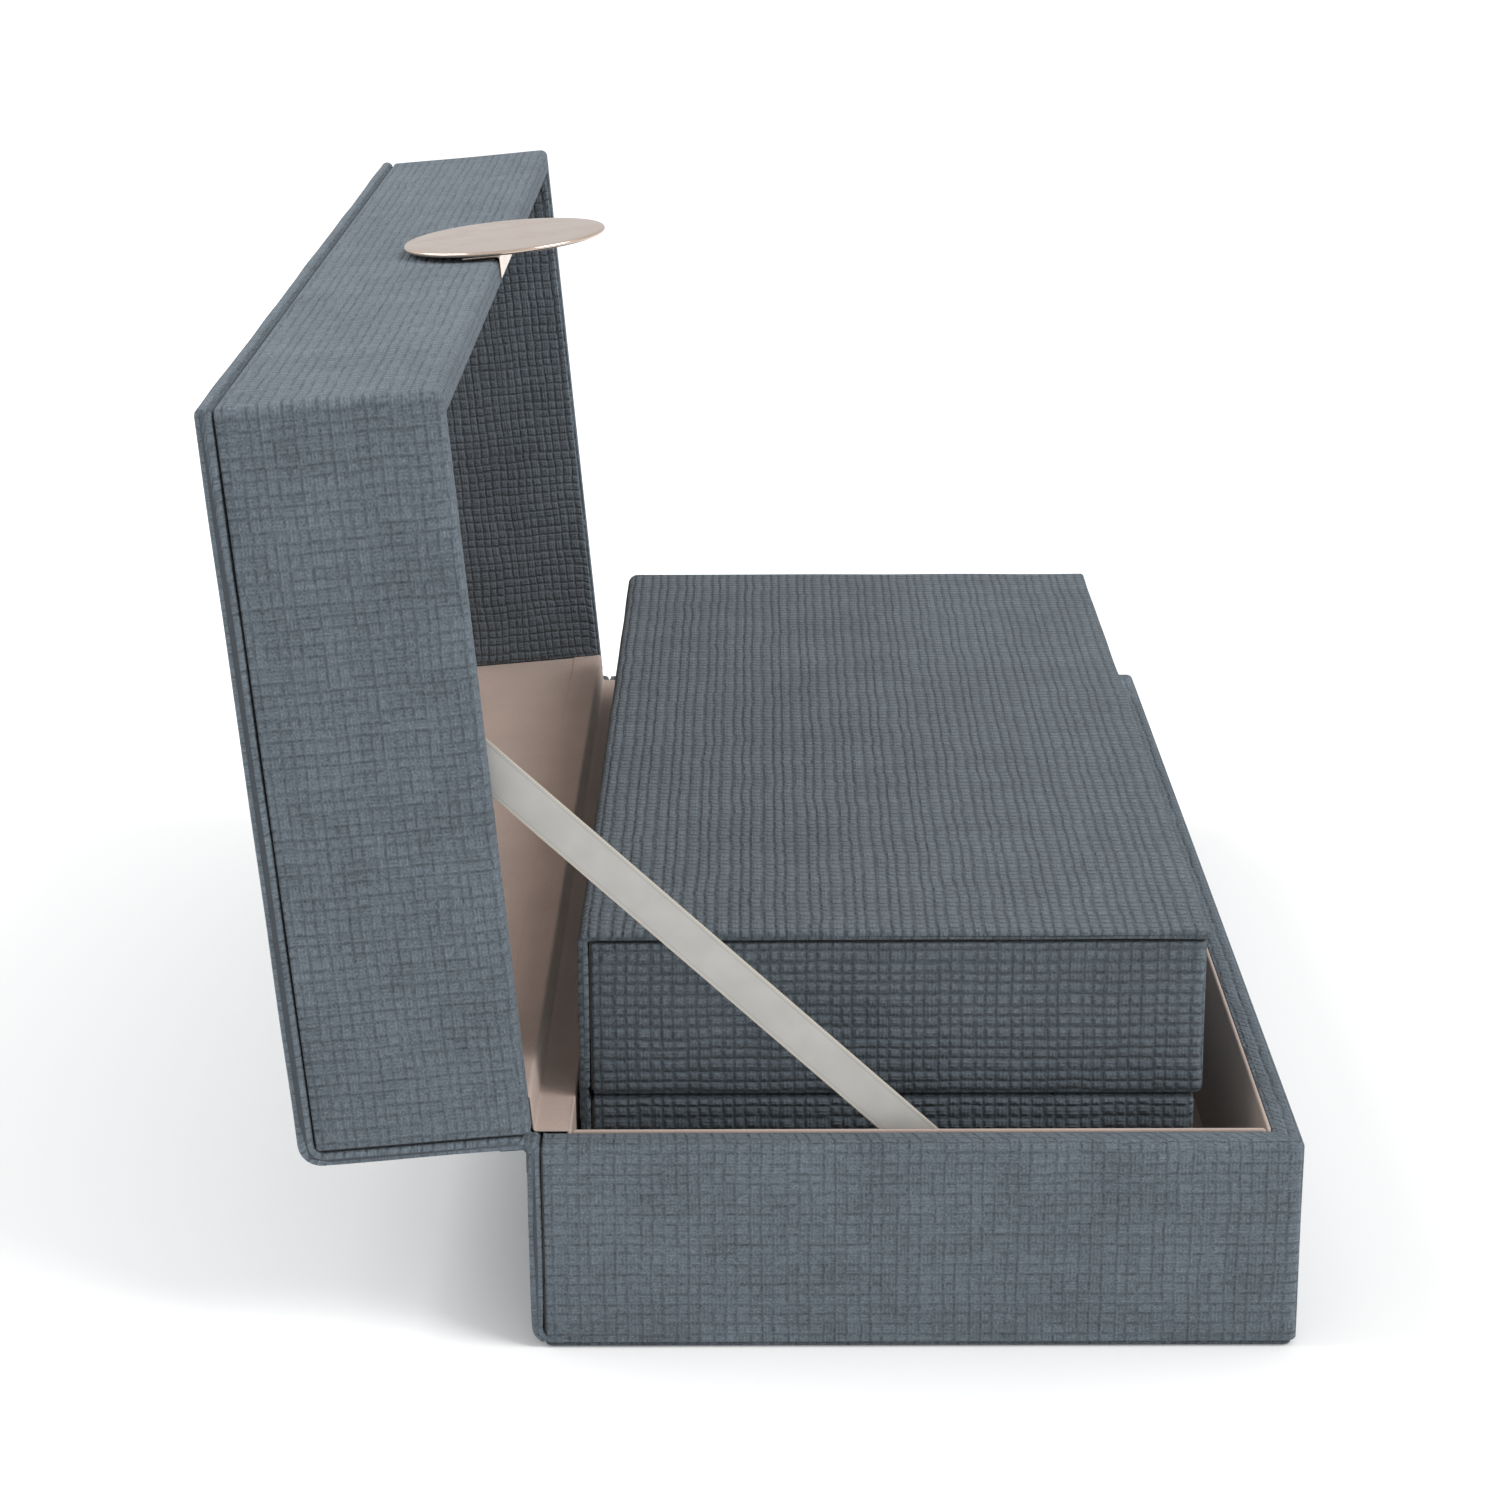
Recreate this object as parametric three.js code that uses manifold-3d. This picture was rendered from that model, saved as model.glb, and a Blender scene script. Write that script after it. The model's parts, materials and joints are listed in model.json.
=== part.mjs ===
// A book-style jewellery case: a fabric-wrapped outer box whose lid leans back on a ribbon stay, and a
// smaller box of the same make that stands loose in its tray. Millimetres, +X along the box, -Y to the
// front, +Z up, with the origin in the middle of the outer box's underside.

import * as THREE from 'three';
import { mergeVertices } from 'three/addons/utils/BufferGeometryUtils.js';
import Module from 'manifold-3d';

const wasm = await Module();
wasm.setup();

// ---- Driving sizes -----------------------------------------------------------------------------

// Outer box
const length = 412;
const depth = 190;
const baseHeight = 55;
const lidHeight = 57;
const openAngle = 95; // where the ribbon holds the lid

// Layers of the walls, from the outside in
const fabric = 1; // faux suede on its backing paper
const wallBoard = 6;
const lining = 1;
const glue = 0.2; // glue line between glued faces
const panelBoard = 3; // floor and top boards
const underside = 1.5; // covered card under the base
const spine = 3.2; // covered board down the back
const spineLift = 0.5; // how far its lower edge stays off the table
const topCover = 4; // covered board on the lid
const coverProud = 0.6; // how far the top cover stands past the walls
const lidPad = 3;
const cornerRadius = 2.2;
const edgeRadius = 0.8;
const liningDrop = 0.8; // the lining stops this far below a rim

// Hinge: a cloth joint whose axis lies inside the spine's thickness
const rimGap = 0.6;
const lidSetback = 1.2; // of the lid's front behind the tray's
const hingeDepth = 1.5;
const hingeGroove = 2;
const hingeCloth = 0.5;

// Inner box
const endGap = 20.6;
const frontGap = 13.2;
const backGap = 1.2;
const headroom = 2.6; // between the inner box and the closed lid's pad
const restGap = 0.2; // between the inner box and the tray floor
const innerBaseHeight = 48.6;
const innerBoard = 4;
const innerSpine = 2.6;
const innerTopCover = 2.5;
const innerLidProud = 2; // the inner lid's front overhangs its base
const innerPad = 2.5;
const divider = 3;
const dividerHeight = 30;
const rollCount = 4;
const rollWidth = 26;
const rollHeight = 27;
const rollGap = 0.8;

// Ribbon stay
const ribbonWidth = 10;
const ribbonThickness = 0.6;
const stayReach = 104; // how far in front of the hinge each end is fixed
const stayInset = 10.5; // how far behind its rim each end is fixed
const stayTail = 5; // ribbon past the fixing point

// Clasp
const discRadius = 28.7;
const discThickness = 1.5;
const discGap = 0.3; // between the shut disc and the tray's front
const bracketWidth = 48;
const bracketSheet = 0.8;
const bracketLeg = 10;
const bracketFold = 5.5;
const rivetRadius = 1.5;
const rivetLength = 5;
const rivetSpacing = 30;
const rivetFromRim = 6;
const fit = 0.3; // clearance of a piece in its hole
const magnetRadius = 7.5;
const magnetThickness = 3;
const magnetBelowRim = 14;

// ---- Sizes that follow -------------------------------------------------------------------------

const discStandoff = lidSetback + discGap;
const wallCore = fabric + glue + wallBoard;
const endWall = wallCore + glue + lining;
const backWall = spine + glue + wallBoard + glue + lining;
const trayFloor = underside + glue + panelBoard + glue + lining;
const hinge = { y: depth / 2 - hingeDepth, z: baseHeight + rimGap / 2 };
const lidTop = rimGap / 2 + lidHeight; // above the hinge axis, lid closed
const lidSkin = topCover + glue; // what lies above the lid's boards
const lidCeiling = lidTop - lidSkin - glue - panelBoard - glue - lidPad;

const innerLength = length - 2 * (endWall + endGap);
const innerBack = depth / 2 - backWall - backGap;
const innerLidFront = -depth / 2 + endWall + frontGap;
const innerBaseFront = innerLidFront + innerLidProud;
const innerFloor = trayFloor + restGap;
const innerRim = innerFloor + innerBaseHeight;
const innerHinge = { y: innerBack - hingeDepth, z: innerRim + rimGap / 2 };
const innerLidTop = hinge.z + lidCeiling - headroom - innerHinge.z;
const innerLidSkin = innerTopCover + glue;
const innerBackWall = innerSpine + glue + innerBoard + glue + lining;

// ---- Materials ---------------------------------------------------------------------------------

const suede = { color: 0x6b7880, roughness: 0.92, metalness: 0 };
const liningSuede = { color: 0xb6a49c, roughness: 0.9, metalness: 0 };
const greyBoard = { color: 0xa08a6c, roughness: 0.85, metalness: 0 };
const satin = { color: 0xd8d2ca, roughness: 0.45, metalness: 0 };
const roseGold = { color: 0xe0b49a, roughness: 0.18, metalness: 1 };
const steel = { color: 0x9a9ca0, roughness: 0.35, metalness: 1 };

// ---- Geometry helpers --------------------------------------------------------------------------

/** A plain block between two corners. */
function block([x0, x1], [y0, y1], [z0, z1]) {
  const geometry = new THREE.BoxGeometry(x1 - x0, y1 - y0, z1 - z0);
  return geometry.translate((x0 + x1) / 2, (y0 + y1) / 2, (z0 + z1) / 2);
}

/** A rectangle's outline with its corners rounded. */
function roundedRectangle([u0, u1], [v0, v1], radius) {
  const shape = new THREE.Shape();
  shape.moveTo(u0 + radius, v0);
  shape.lineTo(u1 - radius, v0);
  shape.absarc(u1 - radius, v0 + radius, radius, -Math.PI / 2, 0);
  shape.lineTo(u1, v1 - radius);
  shape.absarc(u1 - radius, v1 - radius, radius, 0, Math.PI / 2);
  shape.lineTo(u0 + radius, v1);
  shape.absarc(u0 + radius, v1 - radius, radius, Math.PI / 2, Math.PI);
  shape.lineTo(u0, v0 + radius);
  shape.absarc(u0 + radius, v0 + radius, radius, Math.PI, Math.PI * 1.5);
  return shape;
}

/** A block with rounded upright corners and softened top and bottom edges. */
function softBlock([x0, x1], [y0, y1], [z0, z1], corner, edge) {
  const outline = roundedRectangle([x0 + edge, x1 - edge], [y0 + edge, y1 - edge], corner - edge);
  const geometry = new THREE.ExtrudeGeometry(outline, {
    depth: z1 - z0 - 2 * edge,
    bevelThickness: edge,
    bevelSize: edge,
    bevelSegments: 3,
    curveSegments: 4,
  });
  return geometry.translate(0, 0, z0 + edge);
}

/** A section drawn in Y and Z, carried along X. */
function alongX(section, [x0, x1], curveSegments = 6) {
  const geometry = new THREE.ExtrudeGeometry(section, {
    depth: x1 - x0,
    bevelEnabled: false,
    curveSegments,
  });
  const turn = new THREE.Matrix4().makeBasis(
    new THREE.Vector3(0, 1, 0),
    new THREE.Vector3(0, 0, 1),
    new THREE.Vector3(1, 0, 0),
  );
  return geometry.applyMatrix4(turn).translate(x0, 0, 0);
}

/** A round rod lying along Y, given by its two ends. */
function rodAlongY(radius, x, [y0, y1], z, segments = 32) {
  const geometry = new THREE.CylinderGeometry(radius, radius, y1 - y0, segments);
  return geometry.translate(x, (y0 + y1) / 2, z);
}

/** A solid for booleans from a closed geometry. */
function toSolid(geometry) {
  const bare = new THREE.BufferGeometry();
  bare.setAttribute('position', geometry.getAttribute('position'));
  if (geometry.index) bare.setIndex(geometry.index);
  const merged = mergeVertices(bare, 1e-4);
  return new wasm.Manifold(new wasm.Mesh({
    numProp: 3,
    vertProperties: new Float32Array(merged.getAttribute('position').array),
    triVerts: new Uint32Array(merged.index.array),
  }));
}

/** A geometry from a solid. */
function fromSolid(solid) {
  const mesh = solid.getMesh();
  const geometry = new THREE.BufferGeometry();
  geometry.setAttribute('position', new THREE.BufferAttribute(new Float32Array(mesh.vertProperties), 3));
  geometry.setIndex(new THREE.BufferAttribute(new Uint32Array(mesh.triVerts), 1));
  geometry.computeVertexNormals();
  return geometry;
}

/** A geometry with others cut out of it. */
function cut(geometry, ...cutters) {
  const solid = cutters.reduce((left, cutter) => left.subtract(toSolid(cutter)), toSolid(geometry));
  return fromSolid(solid);
}

/** Puts one named piece into a group. */
function add(group, name, geometry, finish) {
  const mesh = new THREE.Mesh(geometry, new THREE.MeshStandardMaterial(finish));
  mesh.name = name;
  group.add(mesh);
}

// ---- Half of a box: the boards and the wrap that both boxes share ---------------------------------

/**
 * The facts of one half of a box. `closed` is the height of its floor's or top's outer face and `rim` that
 * of its open edge, so a lid is a half whose rim lies lower than its closed side.
 */
function boxHalf({ name, length, front, back, closed, rim, board, spine, skin }) {
  const toRim = Math.sign(rim - closed);
  return {
    name,
    ends: [-length / 2, length / 2],
    front,
    back,
    rim,
    board,
    core: fabric + glue + board,
    spine,
    // Heights counted from the closed side: the skin under the board, then the board, then the lining
    level: (height) => closed + toRim * height,
    fromRim: (drop) => rim - toRim * drop,
    skin,
  };
}

/** Sorts two heights, so that a lid and a base are written alike. */
function span(a, b) {
  return [Math.min(a, b), Math.max(a, b)];
}

/** The four wall boards and the floor or top board, glued up edge to edge. */
function addBoards(group, half, panelName, pocket) {
  const { name, ends, front, back, board, core, spine, skin } = half;
  const outer = fabric + glue;
  const long = [ends[0] + outer, ends[1] - outer];
  const backFace = back - spine - glue;
  const between = [front + core + glue, backFace - board - glue];
  const wall = span(half.level(skin + glue), half.fromRim(outer));
  const frontBoard = block(long, [front + outer, front + core], wall);
  add(group, `${name}_front_board`, pocket ? cut(frontBoard, ...pocket) : frontBoard, greyBoard);
  add(group, `${name}_back_board`, block(long, [backFace - board, backFace], wall), greyBoard);
  add(group, `${name}_left_board`, block([long[0], ends[0] + core], between, wall), greyBoard);
  add(group, `${name}_right_board`, block([ends[1] - core, long[1]], between, wall), greyBoard);
  const inside = [ends[0] + core + glue, ends[1] - core - glue];
  const panel = span(half.level(skin + glue), half.level(skin + glue + panelBoard));
  add(group, `${name}_${panelName}_board`, block(inside, between, panel), greyBoard);
}

/** The fabric round the left end, the front and the right end, turned in over the rim. */
function addWrap(group, half, cutters = []) {
  const { ends, front, back, spine, core, skin } = half;
  const backEdge = back - spine - glue;
  const reach = 2 * cornerRadius;
  const rimSide = span(half.level(skin), half.rim);
  const blank = softBlock(ends, [front, backEdge + reach], rimSide, cornerRadius, edgeRadius);
  const pastBack = block([ends[0] - 1, ends[1] + 1], [backEdge, backEdge + 2 * reach], span(
    half.level(skin - reach), half.fromRim(-reach),
  ));
  const boards = block([ends[0] + fabric, ends[1] - fabric], [front + fabric, backEdge + reach], span(
    half.level(skin - reach), half.fromRim(fabric),
  ));
  const hollow = block([ends[0] + core, ends[1] - core], [front + core, backEdge + reach], span(
    half.level(skin - reach), half.fromRim(-reach),
  ));
  add(group, `${half.name}_wrap`, cut(blank, pastBack, boards, hollow, ...cutters), suede);
}

/** The covered board down the back of one half, its far edge rounded if `round` is given. */
function addSpine(group, half, from, to, round) {
  const section = new THREE.Shape();
  const outer = half.back;
  const inner = half.back - half.spine;
  const [low, high] = span(from, to);
  section.moveTo(inner, low);
  section.lineTo(outer - round, low);
  section.absarc(outer - round, low + round, round, -Math.PI / 2, 0);
  section.lineTo(outer, high);
  section.lineTo(inner, high);
  add(group, `${half.name}_back_cover`, alongX(section, half.ends), suede);
}

/** The covered board on a lid's top, with its back edge rolled over the spine. */
function addTopCover(group, half, thickness, roll) {
  const proud = coverProud;
  const [low, high] = span(half.level(0), half.level(thickness));
  const lip = roll / 4;
  const section = new THREE.Shape();
  section.moveTo(half.front - proud + lip, low);
  section.lineTo(half.back, low);
  section.lineTo(half.back, high - roll);
  section.absarc(half.back - roll, high - roll, roll, 0, Math.PI / 2);
  section.lineTo(half.front - proud + lip, high);
  section.absarc(half.front - proud + lip, high - lip, lip, Math.PI / 2, Math.PI);
  section.lineTo(half.front - proud, low + lip);
  section.absarc(half.front - proud + lip, low + lip, lip, Math.PI, Math.PI * 1.5);
  add(group, `${half.name}_top_cover`, alongX(section, [half.ends[0] - proud, half.ends[1] + proud]), suede);
}

/** A thin panel on the inside of each wall, the back one of its own finish. */
function addWallLinings(group, half, floorLevel, finish, kind) {
  const { name, ends, front, back, board, core, spine } = half;
  const endFace = core + glue;
  const backFace = back - spine - glue - board - glue;
  const height = span(half.level(floorLevel + glue), half.fromRim(liningDrop));
  const across = [front + endFace + lining + glue, backFace - lining - glue];
  const along = [ends[0] + endFace, ends[1] - endFace];
  const frontRange = [front + endFace, front + endFace + lining];
  add(group, `${name}_front_${kind}`, block(along, frontRange, height), finish);
  add(group, `${name}_back_${kind}`, block(along, [backFace - lining, backFace], height), liningSuede);
  add(group, `${name}_left_${kind}`, block([along[0], along[0] + lining], across, height), finish);
  add(group, `${name}_right_${kind}`, block([along[1] - lining, along[1]], across, height), finish);
}

/** The strip of lining that covers the back wall's rim, up to the cloth joint. */
function addHingeLining(group, half) {
  const { name, ends, back, spine, board, core } = half;
  const outerEdge = back - spine - glue;
  const height = span(half.fromRim(0), half.fromRim(fabric));
  const along = [ends[0] + core + glue, ends[1] - core - glue];
  add(group, `${name}_hinge_lining`, block(along, [outerEdge - board, outerEdge], height), liningSuede);
}

// ---- Outer box ---------------------------------------------------------------------------------

/** The tray: boards, wrap, spine, underside and linings, and the magnet that holds the clasp. */
function addOuterBase(group) {
  const half = boxHalf({
    name: 'base',
    length,
    front: -depth / 2,
    back: depth / 2,
    closed: 0,
    rim: baseHeight,
    board: wallBoard,
    spine,
    skin: underside,
  });
  const magnetZ = baseHeight - magnetBelowRim;
  const boardFace = half.front + fabric + glue;
  const pocketRange = [boardFace - 1, boardFace + magnetThickness + fit];
  const pocket = rodAlongY(magnetRadius + fit, 0, pocketRange, magnetZ);
  add(group, 'base_underside_cover', underCover(half), suede);
  addBoards(group, half, 'floor', [pocket]);
  addWrap(group, half);
  addSpine(group, half, half.level(spineLift), half.rim, spine - edgeRadius);
  const floorFace = underside + glue + panelBoard;
  const lined = half.core + glue;
  add(group, 'base_floor_lining', block(
    [half.ends[0] + lined, half.ends[1] - lined],
    [half.front + lined, half.back - spine - glue - wallBoard - glue],
    [floorFace + glue, floorFace + glue + lining],
  ), liningSuede);
  addWallLinings(group, half, trayFloor, liningSuede, 'lining');
  addHingeLining(group, half);
  const seat = [boardFace + fit / 2, boardFace + fit / 2 + magnetThickness];
  add(group, 'closure_magnet', rodAlongY(magnetRadius, 0, seat, magnetZ), steel);
}

/** The covered card that the tray stands on, just inside the walls' faces. */
function underCover(half) {
  const inset = fabric;
  return softBlock(
    [half.ends[0] + inset, half.ends[1] - inset],
    [half.front + inset, half.back - spine - glue],
    [0, underside],
    cornerRadius,
    edgeRadius / 2,
  );
}

/** The lid, drawn closed about its hinge axis. */
function addOuterLid(group) {
  const half = boxHalf({
    name: 'lid',
    length,
    front: -depth + hingeDepth + lidSetback,
    back: hingeDepth,
    closed: lidTop,
    rim: rimGap / 2,
    board: wallBoard,
    spine,
    skin: lidSkin,
  });
  const bores = [-1, 1].map((side) => rodAlongY(
    rivetRadius + fit,
    side * rivetSpacing / 2,
    [half.front - 1, half.front + rivetLength + 1],
    half.rim + rivetFromRim,
    20,
  ));
  addTopCover(group, half, topCover, topCover);
  addSpine(group, half, half.level(lidSkin), hingeGroove, edgeRadius);
  addBoards(group, half, 'top', bores);
  addWrap(group, half, bores);
  addWallLinings(group, half, lidTop - lidCeiling, suede, 'facing');
  addHingeLining(group, half);
  const lined = half.core + glue;
  add(group, 'lid_top_pad', softBlock(
    [half.ends[0] + lined, half.ends[1] - lined],
    [half.front + lined, half.back - spine - glue - wallBoard - glue],
    span(lidCeiling, lidCeiling + lidPad),
    cornerRadius,
    edgeRadius,
  ), liningSuede);
  addClasp(group, half);
}

/** The disc that closes over the tray's front, on a sheet bracket folded round the lid's rim. */
function addClasp(group, half) {
  const face = half.front;
  const wide = [-bracketWidth / 2, bracketWidth / 2];
  const legFace = face - glue;
  const legTop = half.rim + bracketLeg;
  const foldLow = half.rim - rimGap / 2 + glue / 2 - bracketSheet / 2;
  const section = new THREE.Shape();
  section.moveTo(legFace, legTop);
  section.lineTo(legFace - bracketSheet, legTop);
  section.lineTo(legFace - bracketSheet, foldLow);
  section.lineTo(face + bracketFold, foldLow);
  section.lineTo(face + bracketFold, foldLow + bracketSheet / 2);
  section.lineTo(legFace, foldLow + bracketSheet / 2);
  const holes = [-1, 1].map((side) => rodAlongY(
    rivetRadius + fit,
    side * rivetSpacing / 2,
    [legFace - 2 * bracketSheet, face],
    half.rim + rivetFromRim,
    20,
  ));
  add(group, 'clasp_bracket', cut(alongX(section, wide), ...holes), roseGold);
  const back = face - discStandoff;
  add(group, 'clasp_disc', clasp(back), roseGold);
  [['left', -1], ['right', 1]].forEach(([side, sign]) => {
    const shank = [face - discStandoff + glue, face + rivetLength];
    const rivet = rodAlongY(rivetRadius, sign * rivetSpacing / 2, shank, half.rim + rivetFromRim, 20);
    add(group, `clasp_rivet_${side}`, rivet, steel);
  });
}

/** The round plate with its rounded rim, facing -Y and centred on the lid's rim. */
function clasp(back) {
  const round = discThickness / 2;
  const profile = new THREE.Path();
  profile.moveTo(0, 0);
  profile.lineTo(discRadius - round, 0);
  profile.absarc(discRadius - round, round, round, -Math.PI / 2, Math.PI / 2);
  profile.lineTo(0, discThickness);
  const geometry = new THREE.LatheGeometry(profile.getPoints(6), 64);
  return geometry.translate(0, back - discThickness, 0);
}

// ---- What crosses the outer hinge ----------------------------------------------------------------

/** Turns a point of the closed lid to where it stands with the lid open. */
function opened([y, z]) {
  const turn = THREE.MathUtils.degToRad(openAngle);
  return new THREE.Vector2(
    hinge.y + y * Math.cos(turn) + z * Math.sin(turn),
    hinge.z - y * Math.sin(turn) + z * Math.cos(turn),
  );
}

/** A flat band of the given width in Y and Z between two points. */
function band(from, to, width, [x0, x1]) {
  const along = to.clone().sub(from).normalize();
  const side = new THREE.Vector2(-along.y, along.x).multiplyScalar(width / 2);
  const section = new THREE.Shape([
    from.clone().sub(side),
    to.clone().sub(side),
    to.clone().add(side),
    from.clone().add(side),
  ]);
  return alongX(section, [x0, x1]);
}

/** The ribbon stay, pulled straight between the left walls of the tray and the lid. */
function addRibbon(group) {
  const low = new THREE.Vector2(hinge.y - stayReach, hinge.z - stayInset);
  const high = opened([-stayReach, stayInset]);
  const tail = high.clone().sub(low).normalize().multiplyScalar(stayTail);
  const face = -length / 2 + endWall + glue;
  const ribbon = band(low.sub(tail), high.add(tail), ribbonWidth, [face, face + ribbonThickness]);
  add(group, 'ribbon_stay', ribbon, satin);
}

/** The strip of cloth that joins the two spines of the outer box. */
function addHingeCloth(group) {
  const inset = fabric + glue;
  const low = new THREE.Vector2(hinge.y - hingeGroove / 2, baseHeight + hingeCloth);
  const high = new THREE.Vector2(hinge.y + hingeGroove / 2, baseHeight + hingeDepth);
  const ends = [-length / 2 + inset, length / 2 - inset];
  add(group, 'hinge_cloth', band(low, high, hingeCloth, ends), suede);
}

// ---- Inner box ---------------------------------------------------------------------------------

/** The inner box's lower half, with its linings, dividers and ring rolls. */
function addInnerBase(group) {
  const half = boxHalf({
    name: 'inner_base',
    length: innerLength,
    front: innerBaseFront,
    back: innerBack,
    closed: innerFloor,
    rim: innerRim,
    board: innerBoard,
    spine: innerSpine,
    skin: 0,
  });
  addBoards(group, half, 'floor');
  addWrap(group, half);
  addSpine(group, half, half.level(0), half.rim, edgeRadius);
  const lined = half.core + glue;
  const inside = {
    x: [half.ends[0] + lined, half.ends[1] - lined],
    y: [half.front + lined, half.back - innerBackWall + lining],
    z: half.level(panelBoard + 2 * glue),
  };
  const floorLining = block(inside.x, inside.y, [inside.z, inside.z + lining]);
  add(group, 'inner_base_floor_lining', floorLining, liningSuede);
  addInnerWallLining(group, half, inside);
  addInsert(group, inside);
}

/** The lining round the inside of the inner base's walls, one strip closed on itself. */
function addInnerWallLining(group, half, inside) {
  const foot = inside.z + lining + glue;
  const height = [foot, half.fromRim(liningDrop)];
  const hollow = block(
    [inside.x[0] + lining, inside.x[1] - lining],
    [inside.y[0] + lining, inside.y[1] - lining],
    [foot - 1, half.rim + 1],
  );
  add(group, 'inner_base_wall_lining', cut(block(inside.x, inside.y, height), hollow), liningSuede);
}

/** Ring rolls at the left, and two open compartments beside them. */
function addInsert(group, inside) {
  const clear = lining + glue;
  const x = [inside.x[0] + clear, inside.x[1] - clear];
  const y = [inside.y[0] + clear, inside.y[1] - clear];
  const floor = inside.z + lining + glue;
  const rollPitch = rollWidth + rollGap;
  for (let i = 0; i < rollCount; i += 1) {
    const start = x[0] + rollGap + i * rollPitch;
    add(group, `ring_roll_${i + 1}`, ringRoll([start, start + rollWidth], y, floor), liningSuede);
  }
  const crossStart = x[0] + rollGap + rollCount * rollPitch;
  const height = [floor, floor + dividerHeight];
  add(group, 'divider_cross', block([crossStart, crossStart + divider], y, height), liningSuede);
  const middle = (y[0] + y[1]) / 2;
  const long = [crossStart + divider + glue, x[1]];
  add(group, 'divider_long', block(long, [middle - divider / 2, middle + divider / 2], height), liningSuede);
}

/** One padded roll across the box, flat underneath and round on top. */
function ringRoll([x0, x1], [y0, y1], floor) {
  const radius = (x1 - x0) / 2;
  const foot = edgeRadius * 2;
  const section = new THREE.Shape();
  section.moveTo(x0 + foot, floor);
  section.lineTo(x1 - foot, floor);
  section.absarc(x1 - foot, floor + foot, foot, -Math.PI / 2, 0);
  section.lineTo(x1, floor + rollHeight - radius);
  section.absarc(x0 + radius, floor + rollHeight - radius, radius, 0, Math.PI);
  section.lineTo(x0, floor + foot);
  section.absarc(x0 + foot, floor + foot, foot, Math.PI, Math.PI * 1.5);
  const geometry = new THREE.ExtrudeGeometry(section, {
    depth: y1 - y0,
    bevelEnabled: false,
    curveSegments: 10,
  });
  return geometry.rotateX(Math.PI / 2).translate(0, y1, 0);
}

/** The inner box's lid, drawn closed about its own hinge axis. */
function addInnerLid(group) {
  const half = boxHalf({
    name: 'inner_lid',
    length: innerLength,
    front: innerLidFront - innerHinge.y,
    back: hingeDepth,
    closed: innerLidTop,
    rim: rimGap / 2,
    board: innerBoard,
    spine: innerSpine,
    skin: innerLidSkin,
  });
  addTopCover(group, half, innerTopCover, innerTopCover);
  addSpine(group, half, half.level(innerLidSkin), hingeGroove, edgeRadius);
  addBoards(group, half, 'top');
  addWrap(group, half);
  const lined = half.core + glue;
  const ceiling = innerLidTop - innerLidSkin - glue - panelBoard - glue;
  add(group, 'inner_lid_pad', softBlock(
    [half.ends[0] + lined, half.ends[1] - lined],
    [half.front + lined, half.back - innerBackWall + lining],
    [ceiling - innerPad, ceiling],
    cornerRadius,
    edgeRadius,
  ), liningSuede);
}

/** The strip of cloth that joins the inner box's two spines. */
function addInnerHingeCloth(group) {
  const inset = fabric + glue;
  const ends = [-innerLength / 2 + inset, innerLength / 2 - inset];
  const height = [innerRim + glue / 2, innerHinge.z + hingeGroove - glue];
  add(group, 'inner_hinge_cloth', block(ends, [innerBack - hingeCloth, innerBack], height), suede);
}

// ---- Assembly ----------------------------------------------------------------------------------

/** The whole case, with the outer lid open and the inner box shut in the tray. */
function buildCase() {
  const whole = new THREE.Group();
  addOuterBase(whole);
  const lid = new THREE.Group();
  lid.position.set(0, hinge.y, hinge.z);
  lid.rotation.x = -THREE.MathUtils.degToRad(openAngle);
  addOuterLid(lid);
  whole.add(lid);
  addHingeCloth(whole);
  addRibbon(whole);
  addInnerBase(whole);
  const innerLid = new THREE.Group();
  innerLid.position.set(0, innerHinge.y, innerHinge.z);
  addInnerLid(innerLid);
  whole.add(innerLid);
  addInnerHingeCloth(whole);
  return whole;
}

export default buildCase();
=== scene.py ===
"""Looks for a book-style jewellery case: its fabrics, ribbon and clasp, and the floor, light and camera.

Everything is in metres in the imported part's own frame. A new piece is a surface worked out on a grid with
numpy, as a function of two parameters or as a section carried along a path. Each surface also says where its
points lie on the flat cloth it was cut from, in metres, and the fabrics' patterns follow that.
"""

import sys

import json
import logging
import math
from dataclasses import dataclass, field
from enum import Enum
from typing import Optional, Sequence, Union

import bmesh
import bpy
import numpy as np
from mathutils import Matrix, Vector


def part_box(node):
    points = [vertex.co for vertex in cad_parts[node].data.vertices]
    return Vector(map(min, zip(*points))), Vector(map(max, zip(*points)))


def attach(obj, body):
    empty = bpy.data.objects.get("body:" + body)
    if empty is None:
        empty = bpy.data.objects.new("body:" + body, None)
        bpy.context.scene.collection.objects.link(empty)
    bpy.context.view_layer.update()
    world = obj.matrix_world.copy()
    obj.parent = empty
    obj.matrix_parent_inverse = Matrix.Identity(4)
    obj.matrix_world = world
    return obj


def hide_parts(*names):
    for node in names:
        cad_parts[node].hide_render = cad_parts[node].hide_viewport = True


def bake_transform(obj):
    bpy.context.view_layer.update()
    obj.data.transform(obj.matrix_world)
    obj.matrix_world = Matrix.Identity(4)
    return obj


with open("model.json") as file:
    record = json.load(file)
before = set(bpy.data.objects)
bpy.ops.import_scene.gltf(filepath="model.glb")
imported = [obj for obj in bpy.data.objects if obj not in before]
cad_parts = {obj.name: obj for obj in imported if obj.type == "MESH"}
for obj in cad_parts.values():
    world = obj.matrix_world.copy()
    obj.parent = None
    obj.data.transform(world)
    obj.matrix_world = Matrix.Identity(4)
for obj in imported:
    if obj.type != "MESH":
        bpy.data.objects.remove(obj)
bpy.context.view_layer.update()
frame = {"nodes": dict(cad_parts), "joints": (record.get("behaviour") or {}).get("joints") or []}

MM = 0.001
CLOTH_MAP = "cloth"
SHARP_ANGLE = 50
ROUND_STEPS = 5
Array = np.ndarray
Piece = bpy.types.Object
Socket = bpy.types.NodeSocket
Colour = tuple[float, float, float]
Number = Union[float, "Wire"]
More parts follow.
